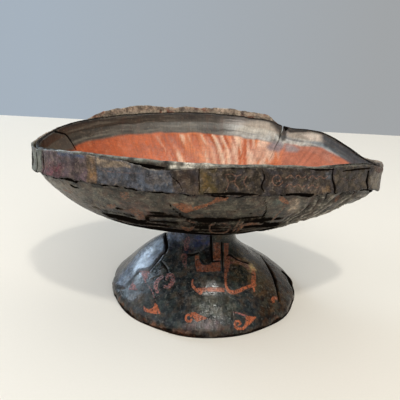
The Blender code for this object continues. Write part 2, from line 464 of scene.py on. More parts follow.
@dataclass(frozen=True)
class Lacquer:
    """Oriental lacquer, brushed on over a filled wooden core in thin coats, then aged in the ground.

    Tree lacquer is glossy, with an IOR of 1.54 and no metal in it. Its gloss has dulled unevenly,
    and it is crazed where the wood under it shrank, which breaks each highlight up. Depths and
    distances are in millimetres, and shares and darkness run from 0 to 1.
    """

    name: str
    gloss: float = 0.30  # roughness of the sound lacquer
    dulling: float = 0.20  # how much rougher its dull places are
    mottle: float = 0.30  # share by which its tone wanders
    stains: tuple[tuple[str, float], ...] = ()  # colours that bled in, and how far
    stain_size: float = 3.4  # from one stain to the next
    cloud: float = 9.0  # from one cloud of its tone to the next
    grain: float = 2.2  # from one blotch to the next
    speck: float = 0.8  # between its finest specks; the real ones, near 0.2 mm, wouldn't show
    craze: float = 2.4  # across a cell of its crazing
    craze_dark: float = 0.5
    line: float = 0.9  # between the lines that the lathe and the brush left round it
    line_depth: float = 0.03
    line_dark: float = 0.2
    hatch: float = 0.8  # between the fine checks that run up and down it, along the grain
    hatch_depth: float = 0.03
    hatch_dark: float = 0.2
    pit_depth: float = 0.05
    fleck: str = "#8a8172"  # pale flecks of grit and bare ground
    flecks: float = 0.4  # how far they cover it
    fleck_size: float = 1.1
    paint: tuple[str, str] = ("#a8502f", "#7a4a3e")  # painted scrolls, sound and faded
    flaking: float = 0.25  # share of the paint that has flaked off

    def make(self) -> bpy.types.Material:
        """Makes the material.

        Returns:
            The material, whose fields come from the piece's vertices.
        """
        material = bpy.data.materials.new(self.name)
        material.use_nodes = True
        tree = material.node_tree
        shader = tree.nodes["Principled BSDF"].inputs
        shader["IOR"].default_value = 1.54
        node = partial(add_node, tree)
        place = node("TexCoord", output="Object")
        lathe = node("Attribute", output="Vector", attribute_name="lathe")

        # Its tone wanders in clouds, blotches and specks, and darkens in its lines and checks
        level = node("Mapping", {"Vector": lathe, "Scale": (0.05, 0.05, 1.0)})
        upright = node("Mapping", {"Vector": lathe, "Scale": (1.0, 1.0, 0.08)})
        fields = {}
        shade: Any = 1.0 - 0.5 * (12.0 * self.mottle + 4.0 * self.line_dark + 4.0 * self.hatch_dark)
        for key, vector, size, rough, weight in (
            ("cloud", place, self.cloud, 0.5, 3.0 * self.mottle),
            ("grain", place, self.grain, 0.65, 5.0 * self.mottle),
            ("speck", place, self.speck, 0.65, 4.0 * self.mottle),
            ("line", level, self.line, 0.6, 4.0 * self.line_dark),
            ("hatch", upright, self.hatch, 0.6, 4.0 * self.hatch_dark),
        ):
            inputs = {"Vector": vector, "Scale": 1000.0 / size, "Detail": 4.0, "Roughness": rough}
            fields[key] = node("TexNoise", inputs)
            shade = node("Math", {0: fields[key], 1: weight, 2: shade}, operation="MULTIPLY_ADD")
        shade = node("Clamp", {"Value": shade, "Min": 0.12, "Max": 3.0})
        colour = node("Attribute", output="Color", attribute_name="tone")
        for number, (stain, share) in enumerate(self.stains):
            seed, scale = 3.7 * number + 1.0, 1000.0 / self.stain_size
            inputs = {"Vector": place, "W": seed, "Scale": scale, "Detail": 4.0}
            bled = node("TexNoise", inputs, noise_dimensions="4D")
            amount = node("MapRange", {"Value": bled, 1: 0.47, 2: 0.60, 3: 0.0, 4: share})
            coat = {"Factor": amount, 6: colour, 7: (*linear(stain), 1.0)}
            colour = node("Mix", coat, 2, data_type="RGBA")

        # Crazing: the seams between shrunken cells, bent by a little noise
        swirl = node("TexNoise", {"Vector": place, "Scale": 700.0 / self.craze, "Detail": 2.0}, 1)
        inputs = {"Factor": 0.0012, 4: place, 5: swirl}
        bent = node("Mix", inputs, 1, data_type="VECTOR", clamp_factor=False)
        inputs = {"Vector": bent, "Scale": 1000.0 / self.craze}
        seams = node("TexVoronoi", inputs, "Distance", feature="DISTANCE_TO_EDGE")
        crazing = node("MapRange", {"Value": seams, 1: 0.0, 2: 0.08, 3: 1.0, 4: 0.0})
        patchy = node("MapRange", {"Value": fields["cloud"], 1: 0.42, 2: 0.60})
        crazed = node("Math", {0: crazing, 1: patchy}, operation="MULTIPLY")

        # Painted scrolls with frayed edges, flaked off in specks, dimmed where worn and, on the stem, by
        # painted shade under the bowl
        fray = node("TexNoise", {"Vector": place, "Scale": 1000.0 / 1.1, "Detail": 3.0, "Roughness": 0.6})
        paint_worn_and_shaded = node("Attribute", output="Fac", attribute_name="paint_worn_and_shaded")
        body = node("Math", {0: paint_worn_and_shaded, 1: -0.60, 2: 1.0}, operation="MULTIPLY_ADD")
        painted: Any = 0.0
        for key, hue, worn in (("faded", self.paint[1], 0.15), ("paint", self.paint[0], 0.0)):
            inside = node("Attribute", output="Fac", attribute_name=key)
            edge = node("Math", {0: fray, 1: 1.2, 2: inside}, operation="MULTIPLY_ADD")
            amount = node("MapRange", {"Value": edge, 1: 0.35, 2: 0.95})
            flaked = 0.30 + 0.30 * (self.flaking + worn)
            kept = node("MapRange", {"Value": fields["speck"], 1: flaked, 2: flaked + 0.12})
            for part in (kept, body):
                amount = node("Math", {0: amount, 1: part}, operation="MULTIPLY")
            coat = {"Factor": amount, 6: colour, 7: (*linear(hue), 1.0)}
            colour = node("Mix", coat, 2, data_type="RGBA")
            painted = node("Math", {0: painted, 1: amount}, operation="MAXIMUM")
        coat = {"Factor": 1.0, 6: colour, 7: shade}
        colour = node("Mix", coat, 2, data_type="RGBA", blend_type="MULTIPLY")

        # Pale flecks of grit and bare ground
        inputs = {"Vector": place, "W": 9.1, "Scale": 1000.0 / self.fleck_size, "Detail": 3.0}
        grit = node("TexNoise", inputs, noise_dimensions="4D")
        amount = node("MapRange", {"Value": grit, 1: 0.58, 2: 0.68, 3: 0.0, 4: self.flecks})
        coat = {"Factor": amount, 6: colour, 7: (*linear(self.fleck), 1.0)}
        colour = node("Mix", coat, 2, data_type="RGBA")

        # Cracks and losses show the dark ground under the lacquer; the same field darkens painted shadow gaps
        gap = node("Attribute", output="Fac", attribute_name="crack")
        frayed = node("Math", {0: fray, 1: 0.9, 2: gap}, operation="MULTIPLY_ADD")
        crack_and_shadow_gap = node("MapRange", {"Value": frayed, 1: 0.15, 2: 0.75})
        dark = node("Math", {0: crazed, 1: self.craze_dark}, operation="MULTIPLY")
        dark = node("Math", {0: crack_and_shadow_gap, 1: dark}, operation="MAXIMUM")
        coat = {"Factor": dark, 6: colour, 7: (*linear("#0f0c0a"), 1.0)}
        colour = node("Mix", coat, 2, data_type="RGBA")
        tree.links.new(colour, shader["Base Color"])

        # Gloss: duller in clouds and blotches, on the paint, and in the cracks and painted shadow gaps
        dullest = self.gloss + self.dulling
        matt = node("MapRange", {"Value": fields["grain"], 1: 0.38, 2: 0.66, 3: self.gloss, 4: dullest})
        for field, more in ((painted, 0.10), (dark, 0.35)):
            matt = node("Math", {0: field, 1: more, 2: matt}, operation="MULTIPLY_ADD")
        tree.links.new(matt, shader["Roughness"])

        # Rubbed places have less sheen, and cracks, which hold the light, and painted shadow gaps have none
        sheen: Any = 0.5
        rubbed = node("Attribute", output="Fac", attribute_name="rubbed")
        for field, less in ((rubbed, -0.40), (crack_and_shadow_gap, -0.45)):
            sheen = node("Math", {0: field, 1: less, 2: sheen}, operation="MULTIPLY_ADD")
        tree.links.new(sheen, shader["Specular IOR Level"])

        # Relief in millimetres: lines, checks, pits, crazing, and the body of the paint
        relief: Any = 0.0
        for field, depth in (
            (fields["line"], self.line_depth),
            (fields["hatch"], self.hatch_depth),
            (fields["speck"], self.pit_depth),
            (fields["grain"], 1.6 * self.pit_depth),
            (crazed, -0.04),
            (painted, 0.04),
            (crack_and_shadow_gap, -0.15),
        ):
            relief = node("Math", {0: field, 1: depth, 2: relief}, operation="MULTIPLY_ADD")
        bump = node("Bump", {"Strength": 1.0, "Distance": 0.001, "Height": relief})
        tree.links.new(bump, shader["Normal"])
        return material


class Finish(Enum):
    """The cup's finishes."""

    # Satin blue-black lacquer, brushed on the turned foot: a sharp highlight that the grain under
    # it and its fine checks break up
    FOOT = Lacquer(
        "foot_black_lacquer", gloss=0.12, dulling=0.20, mottle=0.36, stain_size=3.0,
        stains=(("#5a4632", 0.38), ("#38413b", 0.40), ("#0f1214", 0.65)),
        line=0.9, line_depth=0.07, line_dark=0.12, hatch=0.9, hatch_depth=0.12, hatch_dark=0.16,
        pit_depth=0.06, fleck="#8d8a80", flecks=0.22, paint=("#9c5434", "#8a5650"),
    )
    # Black lacquer under the bowl, gone olive grey and rubbed level: fine lines, a broken sheen
    UNDERSIDE = Lacquer(
        "bowl_black_lacquer", gloss=0.30, dulling=0.24, mottle=0.34,
        stains=(("#6a6557", 0.5), ("#17120e", 0.75), ("#5c4436", 0.35)),
        line=0.9, line_depth=0.14, line_dark=0.36, hatch_depth=0.02, hatch_dark=0.04,
        pit_depth=0.09, craze=1.8, craze_dark=0.6, fleck="#8f8878", flecks=0.35,
        paint=("#8c5231", "#754a32"),
    )
    # Vermilion lacquer inside, cinnabar bound in lacquer: dense colour, a waxy sheen
    INSIDE = Lacquer(
        "bowl_vermilion_lacquer", gloss=0.32, dulling=0.22, mottle=0.16,
        line=1.4, line_depth=0.05, line_dark=0.14, hatch=1.3, hatch_depth=0.10, hatch_dark=0.20,
        pit_depth=0.06, craze=3.0, craze_dark=0.20, fleck="#b09a80", flecks=0.14,
        paint=("#c9a39a", "#8f8082"), flaking=0.1,
    )
    # Black, brown and ochre lacquer on the strip, worn through in patches: matt and gritty
    BAND = Lacquer(
        "band_patched_lacquer", gloss=0.34, dulling=0.30, mottle=0.42, stain_size=3.2,
        stains=(("#6b5c4c", 0.40), ("#120e0c", 0.60), ("#504c52", 0.30)), cloud=5.0, grain=1.8,
        line=0.8, line_depth=0.10, line_dark=0.14, hatch_depth=0.08, hatch_dark=0.12,
        pit_depth=0.16, craze=1.9, craze_dark=0.6, fleck="#9a8b7a", flecks=0.30, fleck_size=1.3,
        paint=("#86604f", "#705245"),
    )


# The cup's form


@dataclass(frozen=True)
class Mouth:
    """Plan and heights of the mouth in metres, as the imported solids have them."""

    half_length: float = 0.0887  # half of the mouth's length, to the wall's outer face
    front_reach: float = 0.0547  # from the long axis to the front
    back_reach: float = 0.0557
    blunt_power: float = 2.00  # power of the plan's curve at the blunt end
    pointed_power: float = 1.55
    warps: Hills = ((34.0, 9.0, -0.0016), (52.0, 7.0, 0.0008), (214.0, 12.0, 0.0008))
    lip_in_front: float = 0.0844
    lip_rise_behind: float = 0.0064
    droops: Hills = (  # how far the lip droops
        (2.0, 16.0, 0.0088),
        (187.0, 20.0, 0.0046),
        (327.0, 20.0, 0.0022),
        (39.0, 8.0, 0.0016),
        (22.0, 9.0, -0.0010),
    )
    upright_wall: float = 0.0140  # height of the upright part of the wall
    tuck: float = 0.0012  # how far the wall tucks in at its foot
    wall: float = 0.0030
    lip: float = 0.0020
    floor: float = 0.0050
    neck: float = 0.0155  # radius of the seat on the stem
    seat: float = 0.0403  # height of the seat
    foot_centre: float = 0.0011  # how far the stem's axis stands off the mouth's centre

    def reach(self, angle: Array) -> Array:
        """Distance in plan to the wall's outer face.

        Args:
            angle: Angles in degrees.

        Returns:
            Metres at each of them.
        """
        across, along = np.cos(np.radians(angle)), np.sin(np.radians(angle))
        power = np.where(across > 0, self.pointed_power, self.blunt_power)
        depth = np.where(along > 0, self.back_reach, self.front_reach)
        oval = (np.abs(across / self.half_length) ** power + np.abs(along / depth) ** power) ** (-1.0 / power)
        return oval + hills(angle, self.warps)

    def top(self, angle: Array) -> Array:
        """Height of the lip at each angle."""
        rise = self.lip_rise_behind * np.maximum(0.0, np.sin(np.radians(angle)))
        return self.lip_in_front + rise - hills(angle, self.droops)

    def fullness(self, angle: Array) -> Array:
        """Power of the underside's curve at each angle."""
        across = np.cos(np.radians(angle))
        return np.where(across > 0, 2.3, 3.4) * across**2 + 2.4 * (1.0 - across**2)

    def rise(self, angle: Array) -> Array:
        """Height from the seat to the shoulder at each angle."""
        return self.top(angle) - self.upright_wall - self.seat

    def spaced(self, start: float, end: float, steps: int) -> Array:
        """Angles that lie closer together at the two ends of the oval.

        Args:
            start: First angle.
            end: Last angle.
            steps: Steps from one to the other.

        Returns:
            The angles, in degrees.
        """
        turns = np.linspace(-360.0, 900.0, 12601)
        angles = turns - np.degrees(0.16 * np.sin(np.radians(2.0 * turns)))
        first, last = np.interp((start, end), angles, turns)
        return np.interp(np.linspace(first, last, steps + 1), turns, angles)


@dataclass(frozen=True)
class Crack:
    """The crack through the wall, beside the warp behind the pointed end."""

    angle: float = 43.5
    depth: float = 0.0210  # how far it runs down from the lip, in metres
    mouth: float = 0.0020  # its width at the lip
    reach: float = 9.0  # degrees to each side over which the wall gives way to it
    # Share of its depth, share of its width, and wander as a share of its width
    steps: tuple[tuple[float, float, float], ...] = (
        (0.00, 1.00, 0.00),
        (0.10, 0.92, -0.10),
        (0.22, 0.72, 0.14),
        (0.33, 0.60, -0.05),
        (0.45, 0.42, -0.16),
        (0.58, 0.34, 0.06),
        (0.70, 0.24, 0.10),
        (0.84, 0.12, -0.08),
        (1.00, 0.00, 0.00),
    )

    def part(self, grid: Grid) -> Array:
        """Parts the wall at the crack.

        Args:
            grid: Grid whose first and last columns stand at the crack.

        Returns:
            Its points, with the crack open between those columns.
        """
        shares, wide, wander = np.array(self.steps).T
        share = np.abs(grid.down) / self.depth
        width = np.interp(share, shares, wide) * self.mouth
        middle = np.interp(share, shares, wander) * self.mouth * (share < 1.0)
        after = np.clip(1.0 - (grid.angle - self.angle) / self.reach, 0.0, 1.0) ** 2
        before = np.clip(1.0 - (self.angle + 360.0 - grid.angle) / self.reach, 0.0, 1.0) ** 2
        shift = after * (middle + 0.5 * width) + before * (middle - 0.5 * width)
        turn = math.radians(self.angle)
        return grid.points + shift[..., None] * np.array((-math.sin(turn), math.cos(turn), 0.0))


# The three pieces


@dataclass(frozen=True)
class Bowl:
    """The oval bowl: black lacquer outside, vermilion inside below a dark zone at the rim."""

    mouth: Mouth
    crack: Crack
    sight: Sight
    columns: int = 520  # round the mouth
    wall_rows: int = 50  # from the lip to the crack's end, on each face
    under_rows: int = 38  # of the underside within that
    lip_rows: int = 5  # over the rounded lip
    floor_rows: int = 26  # of the inside within the crack's end
    dark_zone: float = 0.0118  # depth of the dark zone inside the rim, in metres
    lathe: float = 0.060  # radius of the cylinder that its grain is laid out on

    def outside_at(self, down: Array, angle: Array) -> tuple[Array, Array]:
        """Outer face at a depth below the lip.

        Args:
            down: Metres below the lip.
            angle: Angle of each point.

        Returns:
            Share of the way out to the shoulder, and radius.
        """
        form = self.mouth
        rise, low = form.rise(angle), down > form.upright_wall
        under = np.clip((rise - (down - form.upright_wall)) / rise, 0.0, 1.0)
        share = np.where(low, under ** (1.0 / form.fullness(angle)), 1.0)
        tuck = np.interp(down / form.upright_wall, (0.0, 0.5, 0.93), (0.0, 0.3, 1.0)) * form.tuck
        curved = form.neck + (form.reach(angle) - form.tuck - form.neck) * share
        return share, np.where(low, curved, form.reach(angle) - tuck)

    def inside_at(self, down: Array, angle: Array) -> tuple[Array, Array]:
        """Inner face at a depth below the lip.

        Args:
            down: Metres below the lip.
            angle: Angle of each point.

        Returns:
            Share of the way out to the inner shoulder, and radius.
        """
        form = self.mouth
        rise, step = form.rise(angle), form.upright_wall - form.floor
        out = np.clip((rise - (down - step)) / rise, 0.0, 1.0) ** (1.0 / form.fullness(angle))
        shoulder = form.reach(angle) - form.tuck - form.wall
        insets = (form.lip, 0.5 * (form.lip + form.wall), form.tuck + form.wall)
        inset = np.interp(down, (0.0, 0.0056, step), insets)
        curved = form.neck + (shoulder - form.neck) * out
        radius = np.where(down > step, curved, form.reach(angle) - inset)
        return np.where(down > step, radius / shoulder, 1.0), radius

    def section(self) -> Grid:
        """Lays out the bowl's rows and columns.

        Returns:
            The grid, from the underside's middle over the lip to the floor's middle.
        """
        form, crack = self.mouth, self.crack
        angles = form.spaced(crack.angle, crack.angle + 360.0, self.columns)
        flat, ones = 0.0 * angles, np.ones_like(angles)
        top = form.top(angles) + 0.00022 * Lumps(3, 4.0).at(np.column_stack((angles % 360.0, flat, flat)))
        rise, full, reach = form.rise(angles), form.fullness(angles), form.reach(angles)
        shoulder = reach - form.tuck
        inner = shoulder - form.wall
        out_tip, _ = self.outside_at(crack.depth * ones, angles)
        _, tip_radius = self.inside_at(crack.depth * ones, angles)
        # Each row: share of the way out, radius, height, metres below the lip, and face
        rows: list[tuple[Array, Array, Array, Array, Array]] = []
        for part in np.linspace(0.0, 1.0, self.under_rows, endpoint=False):
            share = out_tip * part
            height = form.seat + rise * share**full
            rows.append((share, form.neck + (shoulder - form.neck) * share, height, top - height, flat))
        for down in np.linspace(crack.depth, 0.0008, self.wall_rows + 1):
            rows.append((*self.outside_at(down * ones, angles), top - down, down * ones, flat))
        half = 0.5 * form.lip
        for turn in np.linspace(0.0, math.pi, self.lip_rows + 2)[1:-1]:
            radius = reach - half + half * math.cos(turn) * 0.96
            rows.append((ones, radius, top - 0.0008 * (1.0 - math.sin(turn)), flat, 0.3 * ones))
        for down in np.linspace(0.0008, crack.depth, self.wall_rows + 1):
            rows.append((*self.inside_at(down * ones, angles), top - down, down * ones, ones))
        for part in np.linspace(1.0, 0.03, self.floor_rows + 1)[1:]:
            radius = tip_radius * part
            out = np.maximum(0.0, (radius - form.neck) / (inner - form.neck))
            height = form.seat + rise * out**full + form.floor
            rows.append((radius / inner, radius, height, top - height, ones))
        share, radius, height, down, face = np.moveaxis(np.array(rows), 1, 0)
        angle = np.broadcast_to(angles, share.shape)
        turn = np.radians(angle)
        x, y = form.foot_centre * (1.0 - share) + radius * np.cos(turn), radius * np.sin(turn)
        # The far side of each face takes the drawing mirrored
        seen = np.stack((x, np.where(face > 0.5, np.abs(y), -np.abs(y)), height), axis=-1)
        return Grid(np.stack((x, y, height), axis=-1), angle, self.sight.draw(seen), face, down)

    def relief(self, grid: Grid) -> Array:
        """Relief of the bowl.

        Args:
            grid: Its points.

        Returns:
            Metres outwards along the normal.
        """
        points, down = grid.points, grid.down
        lumps = 0.00016 * Lumps(11, 0.014).at(points) + 0.00005 * Lumps(12, 0.004).at(points)
        # Outside: the ridges, the groove under the strip, and level splits low down
        outer = 0.00080 * self.wrinkles(grid)
        outer -= 0.00035 * ease(down, 0.0120, 0.0135) * (1.0 - ease(down, 0.0150, 0.0165))
        splits = Lumps(14, 0.0012).at(points, (9.0, 9.0, 1.0))
        outer -= 0.00045 * ease(down, 0.020, 0.026) * ease(splits, 0.15, 0.5)
        # Inside: the ripples, and the flake that has come loose at the blunt end
        flake = ease(covered((FLAKE,), grid.drawn, 6.0), -0.4, 0.8)
        flake = flake * (points[..., 1] > 0.0) * (points[..., 0] < 0.0)
        inner = 0.00030 * self.ripples(grid) + 0.0005 * flake
        return lumps + np.where(grid.face > 0.5, inner, outer)

    def wrinkles(self, grid: Grid) -> Array:
        """Ridges that fan out under the pointed end, where the wood shrank most.

        Args:
            grid: Its points.

        Returns:
            Height of the ridges, from -1 to 1.
        """
        turn = grid.angle % 360.0
        spread = ease(turn, 314.0, 326.0) + ease(-turn, -64.0, -54.0)
        wave = np.sin(np.radians(grid.angle * 34.0 + 230.0 * Lumps(13, 0.012).at(grid.points)))
        return spread * (1.0 - 2.0 * np.abs(wave) ** 0.8) * ease(grid.down, 0.012, 0.016)

    def ripples(self, grid: Grid) -> Array:
        """Upright ripples in the vermilion behind.

        Args:
            grid: Its points.

        Returns:
            Height of the ripples as a share.
        """
        down = grid.down
        turn = 0.055 * np.radians(grid.angle) + 0.52 * down + 0.0016 * Lumps(16, 0.010).at(grid.points)
        wave = Lumps(15, 0.0017).at(np.stack((turn, 0.0 * turn, down), axis=-1), (1.0, 1.0, 8.0))
        return 1.5 * wave * ease(down, 0.0116, 0.0140) * (swell(grid.angle, 90.0, 30.0) + 0.12)

    def tones(self, grid: Grid) -> Array:
        """Broad colours of the bowl, with painted highlights, reflections and shade among them.

        Args:
            grid: Its points.

        Returns:
            A linear colour for each point.
        """
        down, drawn = grid.down, grid.drawn
        x, y = grid.points[..., 0], grid.points[..., 1]
        wander = Lumps(21, 0.010).at(grid.points)
        fine = Lumps(22, 0.003).at(grid.points)
        level = Lumps(23, 0.0011).at(grid.points, (12.0, 12.0, 1.0))
        ridges, ripples = self.wrinkles(grid), self.ripples(grid)
        rough = ease(down + 0.0020 * level, 0.0200, 0.0275) * ease(wander + 0.5 * level, -0.9, 0.0)
        broken = ease(fine, -0.7, 0.2) * (y < 0.0)
        shadow = ease(down, 0.0120, 0.0130) * (1.0 - ease(down + 0.0012 * fine, 0.0148, 0.0158))
        outer = lay(
            "#38342b",
            # Lighter towards the blunt end on the left: painted reflection of the pale floor
            ("#655e53", ease(-x, 0.030, 0.080) * 0.9),
            ("#4c473e", ease(x, 0.015, 0.060) * 0.8),
            ("#6a665a", ease(level, 0.2, 0.8) * 0.5),
            # Near black low on the underside: dark cracked lacquer, deepened with painted shade towards the
            # stem
            ("#0c0a08", rough),
            ("#565a54", ease(fine + wander, 0.5, 1.2) * 0.5),
            # Paler on the crests of the ridges and darker in their valleys: painted highlight and painted
            # shade
            ("#b8b0a2", ease(ridges, 0.0, 0.8)),
            ("#17120e", ease(-ridges, 0.2, 0.8) * 0.9),
            *((patch.colour, patch.cover(patch.inside(drawn)) * broken) for patch in UNDER_PATCHES_AND_LIP_GLINT),
            ("#080605", shadow),
        )
        inner = lay(
            self.inside_tones(x, down + 0.0007 * wander + 0.0004 * fine, wander, fine),
            # Pale on the crests of the ripples and deeper orange in their troughs: painted highlight and
            # painted shade
            ("#dfc0a2", ease(ripples, 0.20, 0.85) * 0.75),
            ("#a04a26", ease(-ripples, 0.1, 0.6) * 0.6),
            *(
                (patch.colour, patch.cover(patch.inside(drawn) + 0.6 * fine) * 0.9 * (y > 0.0))
                for patch in INSIDE_PATCHES_AND_PAINTED_LIGHT
            ),
        )
        lip = 1.0 - ease(down, 0.0004, 0.0016)
        # A pale cream streak on the lip in front: painted highlight
        painted_lip_glint = swell(grid.angle, 262.0, 8.0) * (1.0 - ease(down, 0.0008, 0.0018))
        return lay(
            np.where((grid.face > 0.5)[..., None], inner, outer),
            ("#1a1511", lip),
            ("#7d8076", lip * (1.0 - ease(y, -0.030, -0.008)) * ease(fine, -1.0, 0.1)),
            ("#d8d0c0", painted_lip_glint * ease(fine, -0.8, 0.0)),
        )

    def inside_tones(self, x: Array, depth: Array, wander: Array, fine: Array) -> Array:
        """Broad colours of the inside: a dark zone at the rim, and vermilion below it, with painted sheen and
        highlights.

        Args:
            x: Metres along the mouth.
            depth: Metres below the lip, with the zones' edges shaken.
            wander: Slow noise.
            fine: Fine noise.

        Returns:
            A linear colour for each point.
        """
        place = np.stack((x, 0.0 * x, depth), axis=-1)
        streak = Lumps(24, 0.0016).at(place, (1.0, 1.0, 5.0))
        level = Lumps(25, 0.0009).at(place, (14.0, 1.0, 1.0))
        dark = 1.0 - ease(depth, self.dark_zone - 0.0010, self.dark_zone + 0.0008)
        return lay(
            "#a24c22",
            ("#ba591f", ease(x, -0.068, -0.040)),
            ("#c8733e", ease(x, -0.030, -0.008) * ease(wander, -0.9, 0.3)),
            # Paler in the middle of the vermilion: painted sheen
            ("#dcb69c", ease(x, -0.010, 0.018) * ease(wander + streak, -0.8, 0.4)),
            ("#c87a58", ease(x, 0.034, 0.052)),
            ("#a04e28", ease(wander + 0.5 * fine, 0.1, 0.8) * 0.4),
            ("#d9885a", ease(fine, 0.3, 0.9) * 0.3),
            ("#40382c", dark),
            ("#504c44", dark * ease(x, -0.045, -0.010)),
            # Silvery to the right in the dark zone: painted reflection
            ("#b9bab4", dark * ease(x, 0.002, 0.020)),
            ("#2a2723", dark * (1.0 - ease(depth, 0.001, 0.004)) * 0.6),
            ("#5f5a4e", dark * ease(depth, 0.0075, 0.0105) * ease(fine, -0.7, 0.6) * 0.7),
            ("#746f62", dark * ease(level, 0.2, 0.8) * 0.5),
            ("#151310", dark * ease(-level, 0.2, 0.8) * 0.6),
            # Pale streaks there: painted highlights
            ("#c9c5b8", dark * ease(x, 0.012, 0.030) * ease(level + streak, 0.0, 0.8) * 0.7),
            ("#5a3c2c", dark * ease(streak, 0.4, 0.9) * 0.3),
        )

    def gaps(self, grid: Grid) -> Array:
        """How far points are inside a crack, a painted shadow gap, painted shade in a valley or split, or the
        worn lip.

        Args:
            grid: Its points.

        Returns:
            Units inside, negative outside.
        """
        points, down, drawn, outside = grid.points, grid.down, grid.drawn, grid.face < 0.2
        fine = Lumps(26, 0.0022).at(points)
        level = Lumps(27, 0.0011).at(points, (10.0, 10.0, 1.0))
        gaps = np.where(outside, covered(BOWL_CRACKS_AND_SHADOWS, drawn), covered(INSIDE_CRACKS, drawn))
        worn = (1.0 - ease(down, 0.0002, 0.0012)) * ease(points[..., 1], -0.044, -0.032)
        gaps = np.maximum(gaps, worn * 1.2 - 1.05)
        # Painted shadow under the band, and painted shade in the splits of the rough zone low in front and
        # between the ridges
        under = ease(down, 0.0120, 0.0128) * (1.0 - ease(down + 0.0010 * fine, 0.0138, 0.0148))
        rough = ease(down + 0.0020 * level, 0.0219, 0.0282)
        rough *= ease(-np.abs(points[..., 0] + 0.008), -0.058, -0.030)
        painted_valley_shade = ease(-self.wrinkles(grid), 0.4, 1.0)
        outer = np.maximum(1.9 * under - 1.2, rough * (1.16 + 1.3 * level) - 0.95)
        outer = np.maximum(outer, 0.95 * painted_valley_shade - 0.9) - 2.0 * ease(covered(BOWL_FADED, drawn), -0.4, 0.6)
        return np.where(outside, np.maximum(gaps, outer), gaps)

    def build(self) -> bpy.types.Object:
        """Builds and dresses the bowl.

        Returns:
            The piece.
        """
        grid = self.section()
        placed = self.crack.part(grid) + grid.normals() * self.relief(grid)[..., None]
        outside = grid.face < 0.2
        fields = {
            "lathe": grid.lathe(self.lathe),
            "tone": np.insert(self.tones(grid), 3, 1.0, axis=-1),
            "paint": np.where(outside, covered(BOWL_PAINT, grid.drawn), -LIMIT),
            "faded": np.where(outside, covered(BOWL_FADED, grid.drawn), -LIMIT),
            "paint_worn_and_shaded": np.full(outside.shape, 0.5),
            "rubbed": np.where(outside, 0.45, 0.25),
            "crack": self.gaps(grid),
        }
        rows, columns = outside.shape
        tip_out, tip_in = self.under_rows, rows - self.floor_rows - 1
        index = np.arange(rows * columns).reshape(rows, columns)
        closed = np.ones(rows, dtype=bool)
        closed[tip_out + 1 : tip_in] = False
        placed[closed, -1] = placed[closed, 0]
        index[closed, -1] = index[closed, 0]
        faces = quads(index)
        kinds = np.repeat((grid.face[:-1, 0] >= 0.9).astype(int), columns - 1).tolist()
        for column in (0, -1):
            outer = index[tip_out : tip_out + self.wall_rows + 1, column]
            inner = index[tip_in - self.wall_rows : tip_in + 1, column][::-1]
            faces += np.column_stack((outer[:-1], outer[1:], inner[1:], inner[:-1])).tolist()
            faces.append(index[tip_out + self.wall_rows : tip_in - self.wall_rows + 1, column].tolist())
        faces += fan(index[0], index.size)
        kinds += [0] * (len(faces) - len(kinds))
        faces += fan(index[-1], index.size + 1)
        kinds += [1] * (len(faces) - len(kinds))
        middle = self.mouth.foot_centre
        hubs = np.array(((middle, 0.0, self.mouth.seat), (middle, 0.0, placed[-1, :, 2].mean())))
        finishes = (Finish.UNDERSIDE, Finish.INSIDE)
        made = make_piece("bowl_dressed", placed, hubs, faces, fields, finishes, kinds)
        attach(made, "root")
        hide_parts("bowl")
        return made


